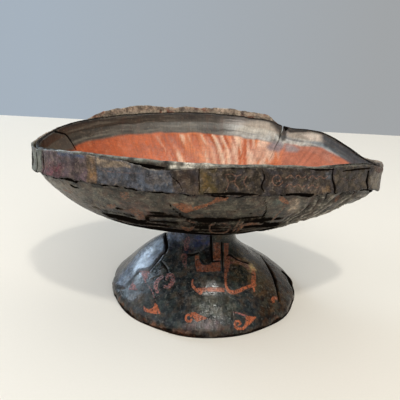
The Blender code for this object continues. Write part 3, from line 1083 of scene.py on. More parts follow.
@dataclass(frozen=True)
class RimBand:
    """The strip bound round the rim, patched in several colours and torn up behind."""

    mouth: Mouth
    sight: Sight
    thickness: float = 0.0010  # in metres
    top_drop: float = 0.0006  # how far its sound edge is under the lip
    height: float = 0.0121
    ends: tuple[float, float] = (46.0, 371.0)  # angles of its two ends
    front_columns: int = 620
    back_columns: int = 250
    face_rows: int = 34  # of its outer face
    edge_rows: int = 3  # over each edge
    inner_rows: int = 12
    lathe: float = 0.060  # radius of the cylinder that its grain is laid out on
    tears: Hills = (  # how far its upper edge stands up
        (132.0, 11.0, 0.0018),
        (113.0, 4.0, -0.0003),
        (76.0, 8.0, 0.0005),
        (250.0, 12.0, -0.0027),
        (2.0, 3.5, 0.0020),
    )
    # How far it stands loose from the wall
    loose: Hills = ((249.0, 14.0, 0.0016), (290.0, 12.0, 0.0006), (184.0, 6.0, 0.0008), (2.0, 4.0, 0.0012))

    def rise(self, angle: Array) -> Array:
        """Height of the upper edge over the lip.

        Args:
            angle: Angles in degrees.

        Returns:
            Metres at each of them.
        """
        turn = angle % 360.0
        torn = ease(turn, 47.0, 56.0) * (1.0 - ease(turn, 147.0, 156.0))
        return 0.0036 * torn + hills(angle, self.tears) - self.top_drop

    def section(self) -> Grid:
        """Lays out the band's rows and columns.

        Returns:
            The grid, from the foot of its outer face over the upper edge and round.
        """
        back = self.mouth.spaced(self.ends[0], 178.0, self.back_columns)
        front = self.mouth.spaced(178.0, self.ends[1], self.front_columns)
        angles = np.concatenate((back[:-1], front))
        ones = np.ones_like(angles)
        along = np.column_stack((angles, 0.0 * angles, 0.0 * angles))
        behind = ease(angles, 40.0, 60.0) * (1.0 - ease(angles, 140.0, 160.0))
        ragged = (0.00030 + 0.0001 * behind) * Lumps(31, 3.1).at(along) + 0.00018 * Lumps(32, 0.8).at(along)
        top = self.mouth.top(angles)
        upper = top + self.rise(angles) + ragged
        lower = top - self.top_drop - self.height + 0.0005 * swell(angles, 190.0, 30.0)
        lower += 0.0005 * Lumps(33, 2.3).at(along) + 0.0003 * Lumps(34, 0.8).at(along)
        inner = self.mouth.reach(angles) + 0.0003 + hills(angles, self.loose)
        half = 0.5 * self.thickness
        turns = np.linspace(0.0, math.pi, self.edge_rows + 2)[1:-1]
        # Each row: radius, height, share of the way up, and side
        rows: list[tuple[Array, Array, Array, Array]] = []
        for part in np.linspace(0.03, 0.97, self.face_rows):
            rows.append((inner + self.thickness, lower + (upper - lower) * part, part * ones, 0.0 * ones))
        for turn in turns:
            radius, height = inner + half + half * math.cos(turn), upper - 0.0004 * (1.0 - math.sin(turn))
            rows.append((radius, height, ones, 0.5 * ones))
        for part in np.linspace(0.97, 0.03, self.inner_rows):
            rows.append((inner, lower + (upper - lower) * part, part * ones, ones))
        for turn in turns:
            radius, height = inner + half - half * math.cos(turn), lower + 0.0004 * (1.0 - math.sin(turn))
            rows.append((radius, height, 0.0 * ones, 0.5 * ones))
        radius, height, part, side = np.moveaxis(np.array(rows), 1, 0)
        angle = np.broadcast_to(angles, radius.shape)
        turn = np.radians(angle)
        points = np.stack((np.cos(turn) * radius, np.sin(turn) * radius, height), axis=-1)
        seen = points.copy()
        seen[..., 1] = -np.abs(points[..., 1])
        return Grid(points, angle, self.sight.draw(seen), side, part)

    def tones(self, grid: Grid, front: Array) -> tuple[Array, Array]:
        """Broad colours of the band, with painted reflections, highlights and shade, and how far its patches
        stand out.

        Args:
            grid: Its points.
            front: How far each is in front, from 0 to 1.

        Returns:
            Linear colours, and metres outwards.
        """
        points, part = grid.points, grid.down
        wander = Lumps(45, 0.008).at(points)
        fine = Lumps(46, 0.0022).at(points)
        back = 1.0 - front
        # The patches' edges are shaken a little
        shake = np.stack((Lumps(41, 0.004).at(points), Lumps(42, 0.004).at(points)), axis=-1)
        insides = [patch.inside(grid.drawn + 1.3 * shake) for patch in BAND_PATCHES_AND_PAINTED_LIGHT]
        tone = lay(
            "#362a22",
            ("#6f6153", ease(wander + 0.6 * fine, -0.3, 0.5) * back * 0.7),
            ("#b3a28d", ease(wander + 0.4 * fine, -1.8, -0.9) * back * ease(grid.face, 0.2, 0.6)),
            ("#5a4c40", ease(fine, 0.2, 0.7) * back * 0.5),
            ("#9a5236", ease(fine + 0.8 * wander, 0.45, 0.9) * back * 0.8),
            *((patch.colour, patch.cover(inside) * front) for patch, inside in zip(BAND_PATCHES_AND_PAINTED_LIGHT, insides)),
            ("#8f8778", ease(part, 0.94, 1.0) * ease(fine, -0.5, 0.4) * 0.6 * front),
            # Darker along the lower edge: painted shade where the strip stands off the wall
            ("#16110e", (1.0 - ease(part + 0.03 * fine, 0.02, 0.08)) * 0.9),
        )
        raised = np.zeros(part.shape)
        for patch, inside in zip(BAND_PATCHES_AND_PAINTED_LIGHT, insides):
            raised += patch.raised * 0.001 * ease(inside, -0.5, 1.0) * front
        return tone, raised

    def build(self) -> bpy.types.Object:
        """Builds and dresses the band.

        Returns:
            The piece.
        """
        grid = self.section()
        points = grid.points
        normals = np.cross(np.gradient(points, axis=1), np.array((0.0, 0.0, 1.0)))
        normals /= np.linalg.norm(normals, axis=-1, keepdims=True)
        front = 1.0 - ease(points[..., 1], -0.012, 0.004)
        tone, raised = self.tones(grid, front)
        # Seams, and painted shadow in the gap under the strip, darken it through the crack field
        seams = covered(BAND_SEAMS_AND_SHADOW_GAP, grid.drawn)
        relief = 0.00030 * Lumps(43, 0.009).at(points) + 0.00018 * Lumps(44, 0.0025).at(points)
        # Its lower edge has come away from the wall
        relief += 0.0005 * (1.0 - ease(grid.down, 0.0, 0.30)) * front
        relief += raised - 0.0004 * ease(seams, -0.6, 0.8) * front
        placed = points + normals * (relief * np.where(grid.face > 0.9, 0.3, 1.0))[..., None]
        away = np.where(grid.face < 0.2, 0.0, -HIDDEN)
        fields = {
            "lathe": grid.lathe(self.lathe),
            "tone": np.insert(tone, 3, 1.0, axis=-1),
            "paint": np.minimum(covered(BAND_LINES, grid.drawn), 4.0 * front - 2.0) + away,
            "faded": covered(BAND_FADED, grid.drawn) + away,
            "paint_worn_and_shaded": np.full(front.shape, 0.6),
            "rubbed": np.full(front.shape, 0.75),
            "crack": seams - TURNED * (1.0 - front),
        }
        index = np.arange(front.size).reshape(front.shape)
        ring = np.vstack((index, index[:1]))
        faces = quads(ring) + fan(ring[:, 0], index.size) + fan(ring[:, -1], index.size + 1)
        hubs = np.array([placed[:, column].mean(axis=0) for column in (0, -1)])
        made = make_piece("rim_band_dressed", placed, hubs, faces, fields, (Finish.BAND,))
        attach(made, "root")
        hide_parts("rim_band")
        return made


@dataclass(frozen=True)
class StemFoot:
    """The turned stem and its flared foot, hollow under the flare."""

    sight: Sight
    height: float = 0.0400  # of the stem and foot, in metres
    neck: float = 0.0155  # radius of the stem
    radius: float = 0.0516  # radius of the foot
    centre: float = 0.0011  # where its axis stands along x
    edge_height: float = 0.0034  # height of the foot's rounded edge
    edge_width: float = 0.0036  # width of the ring that it stands on
    hollow: float = 0.0240  # depth of the hollow
    columns: int = 560  # round it
    outer_rows: int = 118  # of its outer face
    hollow_rows: int = 24
    lathe: float = 0.036  # radius of the cylinder that its grain is laid out on
    flares: tuple[tuple[float, float], ...] = (  # share of the height, and share of the flare
        (1.00, 0.000),
        (0.92, 0.000),
        (0.84, 0.000),
        (0.735, 0.040),
        (0.655, 0.120),
        (0.575, 0.240),
        (0.450, 0.450),
        (0.325, 0.665),
        (0.205, 0.840),
        (0.110, 0.965),
    )
    # The same of the rounded edge, in shares of its own height
    edge: tuple[tuple[float, float], ...] = ((0.90, 0.987), (0.47, 1.0), (0.18, 0.996), (0.0, 0.985))

    def profile(self) -> Array:
        """Outer profile from the neck to the ground.

        Returns:
            Radius and height of each point, evenly stepped.
        """
        high, flare = np.array((*self.flares, *self.edge)).T
        high[: len(self.flares)] *= self.height
        high[len(self.flares) :] *= self.edge_height
        line = curve_through(np.column_stack((self.neck + (self.radius - self.neck) * flare, high)), 12)
        line[:, 1] = np.maximum(line[:, 1], 0.0)
        run = np.concatenate(((0.0,), np.cumsum(np.linalg.norm(np.diff(line, axis=0), axis=1))))
        even = np.linspace(0.0, run[-1], self.outer_rows + 1)
        return np.column_stack((np.interp(even, run, line[:, 0]), np.interp(even, run, line[:, 1])))

    def section(self) -> Grid:
        """Lays out the foot's rows and columns.

        Returns:
            The grid, from the neck down to the ground and up the hollow.
        """
        angles = np.linspace(0.0, 360.0, self.columns + 1)
        line, inner = self.profile(), self.radius - self.edge_width
        shares = np.linspace(1.0, 0.04, self.hollow_rows)
        under = np.column_stack((inner * shares, self.hollow * (1.0 - shares**1.3)))
        profile = np.vstack((line, ((0.5 * (line[-1, 0] + inner), 0.0),), under))
        flare = np.clip((profile[:, :1] - self.neck) / (self.radius - self.neck), 0.0, 1.0)
        waves = sum(
            size * np.sin(np.radians(count * angles + phase))
            for count, size, phase in ((3, 0.00040, 34.0), (7, 0.00024, 0.0), (11, 0.00020, 115.0))
        )
        inside = (np.arange(len(profile)) > self.outer_rows)[:, None]
        radius = profile[:, :1] + waves * flare**2 * ~inside
        turn = np.radians(angles)
        x, y = self.centre + radius * np.cos(turn), radius * np.sin(turn)
        points = np.stack((x, y, np.broadcast_to(profile[:, 1:], x.shape)), axis=-1)
        face = np.broadcast_to(inside.astype(float), x.shape)
        return Grid(points, np.broadcast_to(angles, x.shape), self.sight.draw(points), face)

    def slit(self, points: Array) -> Array:
        """Depth of the long slit down the right of the flare.

        Args:
            points: Grid of points.

        Returns:
            Metres inwards.
        """
        top, foot = np.array((0.0325, 0.0070)), np.array((0.0398, -0.0270))
        run = foot - top
        sideways = np.array((-run[1], run[0])) / np.linalg.norm(run)
        away = points[..., :2] - top
        share = np.clip(away @ run / (run @ run), 0.0, 1.0)
        bow = np.sin(math.pi * share)
        middle = share[..., None] * run + 0.0020 * bow[..., None] * sideways
        wide = 0.0013 * (0.20 + 0.80 * bow)
        off = np.linalg.norm(away - middle, axis=-1)
        return 0.0018 * np.clip(1.0 - off / wide, 0.0, 1.0) * (points[..., 2] > 0.0036)

    def rubbed(self, grid: Grid) -> Array:
        """How far points have lost their sheen: on the stem, on the right flank and low down.

        Args:
            grid: Its points.

        Returns:
            The share of the sheen that is lost.
        """
        height, drawn = grid.points[..., 2], grid.drawn
        flank = ease(drawn[..., 0], 238.0, 264.0) * ease(drawn[..., 1], 228.0, 240.0)
        low = 0.75 * ease(-height, -0.0160, -0.0100)
        return np.maximum.reduce((0.85 * ease(height, 0.018, 0.026), flank, low))

    def worn_edge(self, points: Array) -> Array:
        """How far points are inside the bare, ragged edge at the ground: units, negative outside."""
        ragged = 0.0012 * Lumps(57, 0.0050).at(points) + 0.0006 * Lumps(58, 0.0016).at(points)
        return 1.3 * (1.0 - ease(points[..., 2] + ragged, 0.0012, 0.0030)) - 1.1

    def tones(self, grid: Grid, turned: Array, behind: Array) -> Array:
        """Broad colours of the foot, with painted shade, sheen and highlights among its patches.

        Args:
            grid: Its points.
            turned: Where each is on the drawing turned half round.
            behind: How far each takes the turned drawing, from 0 to 1.

        Returns:
            A linear colour for each point.
        """
        wander = Lumps(55, 0.012).at(grid.points)
        fine = Lumps(56, 0.0025).at(grid.points)
        patches = []
        for patch in FOOT_PATCHES_AND_PAINTED_LIGHT:
            near, far = (patch.cover(patch.inside(at, 16.0) + 0.8 * fine) for at in (grid.drawn, turned))
            patches.append((patch.colour, near * (1.0 - behind) + far * behind))
        low = 1.0 - ease(grid.points[..., 2] + 0.0012 * wander, 0.0026, 0.0052)
        tone = lay(
            "#24282a",
            ("#3b4144", ease(wander, 0.0, 0.8) * 0.5),
            *patches,
            ("#33261e", low * 0.9),
            ("#6a402c", low * ease(fine + 0.4 * wander, 0.1, 0.6) * 0.8),
        )
        wood = lay("#2b241f", ("#4a3a2c", ease(fine + wander, 0.0, 1.0) * 0.6))
        return np.where((grid.face > 0.5)[..., None], wood, tone)

    def build(self) -> bpy.types.Object:
        """Builds and dresses the stem foot.

        Returns:
            The piece.
        """
        grid = self.section()
        points, drawn, outer = grid.points, grid.drawn, grid.face < 0.5
        height = points[..., 2]
        behind = ease(points[..., 1], 0.014, 0.030)
        turned = self.sight.draw(points * np.array((-1.0, -1.0, 1.0)))

        def both(shapes: Shapes) -> Array:
            """How far points are inside shapes that are drawn in front and behind."""
            near, far = covered(shapes, drawn), covered(shapes, turned)
            return np.maximum(near - TURNED * behind, far - TURNED * (1.0 - behind))

        relief = 0.00036 * Lumps(51, 0.016).at(points) + 0.00016 * Lumps(52, 0.004).at(points)
        # The left shoulder is pushed out, and the slab on it stands proud, with a sharp edge in front
        slab = ease(covered((SLAB,), drawn, 10.0), -2.0, 2.0) * (1.0 - behind)
        relief += 0.0005 * slab + 0.0046 * swell(grid.angle, 168.0, 36.0) * ease(height, 0.004, 0.022)
        # A swelling in front, whose lower side catches the light
        off = np.linalg.norm((drawn - np.array((212.0, 280.5))) / np.array((15.0, 10.0)), axis=-1)
        relief += 0.0016 * np.exp(-(off**2)) * (points[..., 1] < 0.0)
        cracks, chips, slit = both(FOOT_CRACKS), both(FOOT_LOSSES), self.slit(points)
        relief -= 0.00045 * ease(cracks, -0.8, 0.5) + 0.0005 * ease(chips, -0.3, 0.5)
        # Scalloped and chipped edge
        low = 1.0 - ease(height, 0.0010, 0.0060)
        relief -= 0.0007 * low * ease(Lumps(53, 0.0060).at(points), 0.0, 0.6)
        relief -= 0.0005 * low * ease(Lumps(54, 0.0022).at(points), 0.1, 0.5)
        relief = (relief * ease(height, 0.0002, 0.0015) - slit) * outer
        placed = points - grid.normals() * relief[..., None]
        split = np.where(slit > 0.0002, 2.0 * slit / 0.0009 - 1.0, -LIMIT)
        away = np.where(outer, 0.0, -HIDDEN)
        fields = {
            "lathe": grid.lathe(self.lathe),
            "tone": np.insert(self.tones(grid, turned, behind), 3, 1.0, axis=-1),
            "paint": both(FOOT_PAINT) + away,
            "faded": both(FOOT_FADED) + away,
            # Paint on the stem dimmed: painted shade under the bowl
            "paint_worn_and_shaded": ease(height, 0.014, 0.024),
            "rubbed": self.rubbed(grid),
            "crack": away
            + np.maximum.reduce((cracks, np.minimum(chips, -0.1), self.worn_edge(points), split)),
        }
        index = np.arange(outer.size).reshape(outer.shape)
        index[:, -1] = index[:, 0]
        faces = quads(index) + fan(index[0], index.size) + fan(index[-1], index.size + 1)
        hubs = np.array(((self.centre, 0.0, self.height), (self.centre, 0.0, self.hollow)))
        made = make_piece("stem_foot_dressed", placed, hubs, faces, fields, (Finish.FOOT,))
        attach(made, "root")
        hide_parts("stem_foot")
        return made


# What is painted, patched and cracked on the drawing, painted highlights, reflections and shade among them; a
# later patch lies over an earlier one


# Sound paint on the foot: a squared scroll on the stem over a long hooked bar, and below them a
# horned scroll, a ring with a tail, a curl and a comma
FOOT_PAINT = areas(
    (213.4, 242.6, 220.4, 242.6, 220.6, 260.4, 213.2, 260.2),
    (224, 243.2, 228.8, 243.4, 228.4, 255, 224.6, 256.5),
    (
        195.2, 255, 198.8, 255.6, 199.6, 261.5, 202.6, 265.4, 208.8, 264.8, 213, 262.6, 220.4, 261.6,
        220.6, 271.6, 212, 272.4, 204, 272.6, 196.8, 271.8, 195, 265,
    ),
    (224.2, 256.5, 229.2, 255.6, 230.2, 264, 228, 272.6, 224.4, 272.4),
    (197, 288.2, 210, 288, 224.4, 288.2, 224.6, 292.2, 209, 292, 203.8, 292.2, 200.8, 294.6),
    (
        143.6, 305.6, 146.2, 308.4, 149.6, 309.4, 152.9, 307.7, 155.2, 302.4, 157.4, 305, 160.9, 314.6,
        151, 313.2, 144, 311.6,
    ),
    (190, 312.6, 195, 312.2, 201.3, 315.6, 208.6, 318.4, 201.3, 320.2, 196.5, 322, 193.6, 318),
    (245.6, 316, 257, 316.6, 253.6, 320.6, 249.6, 324.6, 243.3, 330, 239.2, 330.4, 243.2, 326.6, 245.8, 322),
) + strokes(
    (225.6, 272, 3.2, 225.2, 278, 2.6, 225.4, 285, 2.4),
    (192.8, 279.8, 1.4, 192.2, 284.5, 2.2, 195.4, 289.2, 2.6, 200.6, 294.4, 1.6),
    (
        225.6, 284.3, 2.2, 226.4, 288, 2.6, 229, 291.2, 3.4, 233.9, 292.4, 4, 240.3, 290.2, 4, 245.4,
        287.6, 3.6, 255, 284.8, 3,
    ),
    (253.2, 270, 3.6, 253.6, 277, 4.2, 253.2, 284, 4.4),
    (254, 286, 2, 254.3, 291.5, 1.2),
    (
        191.4, 316.6, 2.2, 190.2, 315, 2.4, 187.2, 315.2, 2.4, 185.8, 318.4, 2.4, 187.4, 321.2, 2.4, 190.4,
        321.4, 2.4, 191.6, 319.4, 2,
    ),
    (
        243, 329, 2.6, 238.2, 328.6, 2.8, 235, 325.6, 2.6, 235.6, 321.8, 2.4, 238.8, 321, 2.2, 240.4,
        323.6, 2, 238.6, 325.2, 1.6,
    ),
    (273.2, 301.6, 2.6, 273, 298.6, 3.2, 275.8, 297.6, 2.8, 276.6, 299.6, 1.6),
)

# Faded paint on the foot
FOOT_FADED = areas(
    (140.4, 272.2, 150.8, 272, 148, 277.6, 145.8, 284, 143, 277.6),
    (133.2, 281.8, 135.8, 286, 138, 290.4, 128.2, 289.8, 130.6, 286),
) + strokes(
    (145.8, 283, 1, 151.4, 290, 1.2, 154.6, 298, 0.9),
    (162.6, 276.4, 2.6, 157.8, 280.8, 4, 155.6, 286.6, 4.4, 157.4, 292.4, 2.6),
    (
        166.8, 279.8, 2.2, 167.6, 275.4, 3.4, 171.6, 275.2, 4.2, 173.2, 279, 4.4, 171.2, 284, 4.2, 167.2,
        287, 3.4, 163.6, 286, 2.2,
    ),
    (188.4, 238, 4, 187, 243, 5, 186.4, 249, 4),
    (186.4, 258.6, 1.6, 186, 255.2, 2, 182.6, 255, 2, 181.4, 258.6, 1.4),
    (185, 258.6, 3.4, 184.6, 263, 4, 186, 268, 1.6),
    (233, 312.2, 1, 239, 313.4, 1.6, 246.4, 316, 2),
    (229, 262.8, 2.2, 236, 261.8, 3.2, 243, 264.2, 3.4, 249, 268.4, 3),
    (230, 257, 2, 237, 259, 2.4, 244, 263, 2.4, 250, 266, 2),
)

# Cracks of the foot
FOOT_CRACKS = strokes(
    (170.6, 236, 0.8, 169.7, 243.5, 1.8, 168.6, 250.1, 2.5, 166, 255, 0.8),
    (166, 254, 0.8, 158.6, 262.4, 1, 150.3, 271.4, 0.6),
    (162.6, 263, 1.2, 165.6, 267, 1.8, 168.6, 272.6, 0.6),
    (187.6, 254.2, 1, 192.4, 254.8, 2, 198.4, 252.6, 1),
    (211, 236.5, 1.8, 211.2, 243, 2, 211.6, 251, 2.2, 212.4, 261, 1.2),
    (227, 255.6, 0.8, 230.4, 254.4, 1.8, 235, 257.6, 1.4, 241, 260.8, 1.2, 248, 263, 1.6),
    (222.2, 243, 1.6, 222.4, 258, 1.6, 222.6, 272, 0.8),
    (212, 261.8, 0.8, 217, 260.8, 1.4, 220, 260.6, 0.8),
    (232.6, 268.6, 1.4, 236.6, 268.2, 1),
    (282, 271, 1.2, 288, 277, 2.6, 293.4, 287, 2.6, 294.4, 294, 1),
)

# Flaked losses round the stem
FOOT_LOSSES = areas(
    (199.6, 252.4, 206, 248, 212, 245, 212.4, 260.6, 208.8, 264, 203.2, 264.2, 199.6, 258.4),
)

# The thick flake of lacquer on the left shoulder
SLAB = Area((
    96, 300, 96, 240, 130, 222, 169.6, 228, 169.4, 251.8, 150.9, 270.8, 140.2, 272, 125.4, 288, 114, 286,
))

# Patches of the foot's lacquer, and painted shade, sheen and highlights
FOOT_PATCHES_AND_PAINTED_LIGHT = (
    Patch("#2e1c0a", 7, (246, 226, 310, 240, 310, 346, 262, 346, 258, 300, 232, 262)),
    Patch("#3c3020", 4, (232, 240, 258, 246, 266, 280, 258, 296, 252, 282, 238, 262)),
    Patch("#5d4324", 2.5, (229, 259, 236, 255, 250, 264, 256, 286, 248, 282, 244, 268, 234, 264)),
    Patch("#191d16", 1.6, (230.6, 266, 240, 264.6, 247.6, 270, 248, 281, 236, 285.6, 229.6, 280)),
    # Dark on the neck under the bowl: partly painted shade
    Patch("#1e1e18", 2, (212, 226, 244, 226, 242, 258, 228, 256, 212, 262)),
    # Blue-black on the neck under the bowl: partly painted shade
    Patch("#191c2a", 2, (160, 222, 212, 222, 211.4, 247, 198, 252.4, 186, 254, 170, 252)),
    Patch("#242f58", 3, (188, 232, 210, 232, 209, 243, 190, 246)),
    # Painted pale blue sheen on the left of the neck
    Patch("#58647c", 2, (172, 230, 186, 230, 183, 240, 173, 244)),
    Patch("#121419", 1.2, FOOT_LOSSES[0].outline),
    # Painted warm highlight
    Patch("#c9ab72", 1.2, (248.4, 264.6, 253, 264.4, 256.2, 270.6, 250.6, 272)),
    Patch("#35302f", 1.4, SLAB.outline),
    # Painted bluish highlight along the front edge of the slab
    Patch("#5f6c80", 3, (
        166, 244, 168.6, 251, 151, 269.6, 139, 271, 124.6, 286, 117, 284, 121, 274, 140, 260, 156, 250,
    )),
    Patch("#1d1b1c", 5, (118, 300, 150, 322, 200, 334, 200, 350, 120, 340)),
    Patch("#5b4a4c", 2.5, (183, 326, 196, 321, 216, 319, 222, 330, 200, 333, 186, 332)),
    # Painted grey sheen below the highlight in front
    Patch("#45483f", 5, (192, 296, 232, 294, 238, 312, 214, 318, 198, 310)),
    Patch("#3a3026", 3, (130, 292, 146, 296, 142, 306, 126, 304)),
)

# Sound paint under the bowl
BOWL_PAINT = areas(
    (172, 204.2, 180, 203, 192.4, 204, 190.8, 208.4, 186.4, 213.4, 181.4, 211, 176, 207.6),
) + strokes(
    (188, 211.5, 2.4, 192, 209.4, 3.4, 208.7, 204.2, 3, 219, 199.6, 3),
    (217, 199.6, 3.6, 222, 199, 5.6, 227, 198.6, 3.4),
    (281, 199, 4, 284, 200.6, 5, 287.4, 203, 3),
)

# Worn paint under the bowl
BOWL_FADED = areas(
    (119.6, 192.4, 128.8, 192, 129.6, 197.4, 124.6, 199.6, 120.4, 196.4),
    (106.2, 204.4, 114, 203.6, 115.4, 208, 107.4, 209.4),
    (127.6, 209, 136, 208.6, 143.6, 212, 145, 218.4, 138, 220.4, 134, 214.6),
) + strokes(
    (98, 208.6, 0.9, 112, 205.8, 1.8, 129.6, 200.6, 1.2),
    (63.6, 189.6, 1.6, 71.6, 192.4, 2.4),
    (
        215, 223.6, 1, 209.6, 226.2, 1.2, 210.4, 231.4, 1.2, 216, 233.6, 1.3, 225, 232.4, 1.2, 230.6,
        227.6, 1.2, 226, 223.8, 1.2, 217, 222.8, 1,
    ),
    (238.4, 229.4, 1.8, 243.6, 225.4, 3, 252.8, 223.8, 2.8, 262, 224.8, 1.2),
    (233, 231.4, 1.2, 237, 225, 1.4, 240.6, 219.4, 0.9),
    (236.6, 231.4, 1, 239.6, 226, 1.2, 242.6, 221.2, 0.8),
    (182, 216.6, 1, 190, 221.6, 1.4, 196.4, 223, 1),
    (182, 227, 2.4, 188, 230, 3.2, 193.4, 227.4, 1.8),
    (286.6, 204.6, 1.2, 280, 212, 1.8, 270.8, 222.6, 1),
    (339, 196.8, 2.4, 334, 203, 1.2),
)

# Cracks under the bowl, and painted shadow in the gap under the strip and in the slit between the lip and the
# strip
BOWL_CRACKS_AND_SHADOWS = strokes(
    (168.4, 202.6, 1.2, 173.3, 208.7, 1.4, 181.6, 215.7, 1.4, 193.4, 225.2, 1.2, 207.6, 233.4, 0.8),
    (138, 220.6, 1.2, 148, 219.6, 1.8, 149, 216.2, 0.8),
    (151, 216.6, 0.8, 164, 216, 1.4, 178, 215.6, 0.8),
    (150, 222, 1, 164, 221.6, 2, 180, 224, 1),
    (196, 211.6, 0.4, 216, 213, 0.7, 238, 212, 0.7, 256, 214.4, 0.4),
    (196, 217, 0.4, 216, 218.4, 0.8, 238, 217.4, 0.7, 262, 219.5, 0.4),
    (206, 220.6, 0.6, 230, 220.4, 1.2, 256, 221.4, 0.6),
    (262.6, 194, 0.6, 266.4, 208, 1.4, 263, 219, 2, 265.4, 226, 1),
    (206, 235, 0.6, 224, 236, 1, 246, 233, 0.6),
    # The next two: painted shadow under the strip
    (290, 193.6, 1.6, 298, 194.4, 2.8, 308, 194.2, 1.6),
    (206, 193, 1.4, 240, 193.6, 2.6, 262, 194, 2.2, 288, 194.4, 2),
    # Painted shadow in the slit between the lip and the strip in front
    (108, 160.6, 1, 120, 162.4, 2.2, 135, 164.4, 3.4, 150, 166.6, 3.8, 164, 168.2, 2.2),
    (70, 184.6, 1, 74, 187, 1.8, 79, 188, 0.8),
)

# Patches of the lacquer under the bowl, and a painted highlight on the front lip
UNDER_PATCHES_AND_LIP_GLINT = (
    # Painted highlight on the front lip
    Patch("#f2ead8", 0.7, (166, 165, 198, 164.4, 214, 165.6, 212, 168.4, 168, 169)),
    Patch("#b09a84", 2, (288.7, 202, 297, 197.6, 301, 201, 300, 210, 291, 215, 287, 211)),
    Patch("#8a7862", 1, (170, 202.6, 184, 201.6, 194, 202.6, 193, 205.4, 180, 206)),
    Patch("#7c776b", 0.8, (111, 192.6, 113, 192.6, 135.4, 207, 134, 208.4)),
    Patch("#3f4a42", 3, (262, 194, 286, 195, 284, 212, 268, 222)),
    Patch("#5c3f33", 5, (116, 198, 150, 204, 154, 216, 124, 210)),
)

# Flake lines inside the blunt end
INSIDE_CRACKS = areas(
    (277.6, 119.8, 281.6, 119.4, 286, 123.2, 291, 125.4, 288, 128.2, 284.2, 131.4, 282, 127),
) + strokes(
    (41, 138.5, 0.8, 44, 133.8, 1.2, 48.4, 132.1, 1.6, 54.2, 131.7, 2, 64, 133.8, 1.8),
    (64, 133.8, 1.8, 67.5, 136.2, 1.6, 71.6, 142.9, 1.6, 75.8, 149.8, 1.4),
)

# The flake that has come loose there
FLAKE = Area((36, 150, 41, 138.5, 46, 133, 54.2, 131.9, 64, 134.2, 71.6, 143.2, 75.6, 151))

# Patches of the lacquer inside the bowl, and painted highlights, reflections and shade beside the crack
INSIDE_PATCHES_AND_PAINTED_LIGHT = (
    Patch("#ad6448", 1.2, (284, 143, 300, 146, 322, 147.4, 337, 155.4, 354, 163.2, 354, 170, 280, 170)),
    Patch("#b96a48", 1.6, (330, 155, 350, 161.6, 352, 165, 334, 163)),
    Patch("#453b31", 0.8, FLAKE.outline),
    Patch("#84787a", 2.2, (266.5, 147, 272, 142.4, 281, 142.4, 282.6, 148, 279, 151.6, 269, 150.6)),
    Patch("#8d8280", 2.2, (284.8, 144, 291, 144.4, 300, 149.4, 297, 152.4, 286, 151.4)),
    Patch("#6b3a2c", 0.8, (33, 145, 36, 138.5, 40.5, 138, 41.5, 144.5)),
    Patch("#2b2822", 1.2, (264, 114.5, 277, 116, 285, 121, 287, 130, 285, 141, 281, 141, 276, 131, 269, 122)),
    # Painted highlight left of the crack
    Patch("#cfc9bb", 1, (256, 120.6, 262, 119.6, 268.5, 120.6, 262, 123.4)),
    # Painted silvery reflection left of the crack
    Patch("#b9b3a4", 4, (250, 121, 268, 121, 279, 134, 262, 133.5, 236, 131)),
    # Painted silvery highlight right of the crack
    Patch("#a9a496", 1.6, (286, 131, 300, 132, 312, 131, 321.4, 134.6, 322, 142, 306, 141, 289, 137.6)),
    # Painted highlight, its brightest part
    Patch("#ddd8ca", 1.4, (302, 134.6, 311, 133.6, 320.6, 135.6, 320.6, 141.6, 310, 140)),
    # Painted shade on the top edge of the wall right of the crack
    Patch("#24231e", 0.8, (
        284, 129.6, 287.3, 124.6, 296, 125.6, 310, 126.6, 314, 130.6, 303, 132.4, 290, 132.4,
    )),
    # Painted blue-grey sheen fading out below that highlight
    Patch("#7a8488", 1.6, (306, 141.6, 321.6, 142, 336, 150, 338, 155, 322, 147)),
    Patch("#3c4448", 1.2, (322.2, 133, 345, 141, 382, 158, 380, 168, 352, 164.6, 336.7, 154.4, 323.7, 145.6)),
)

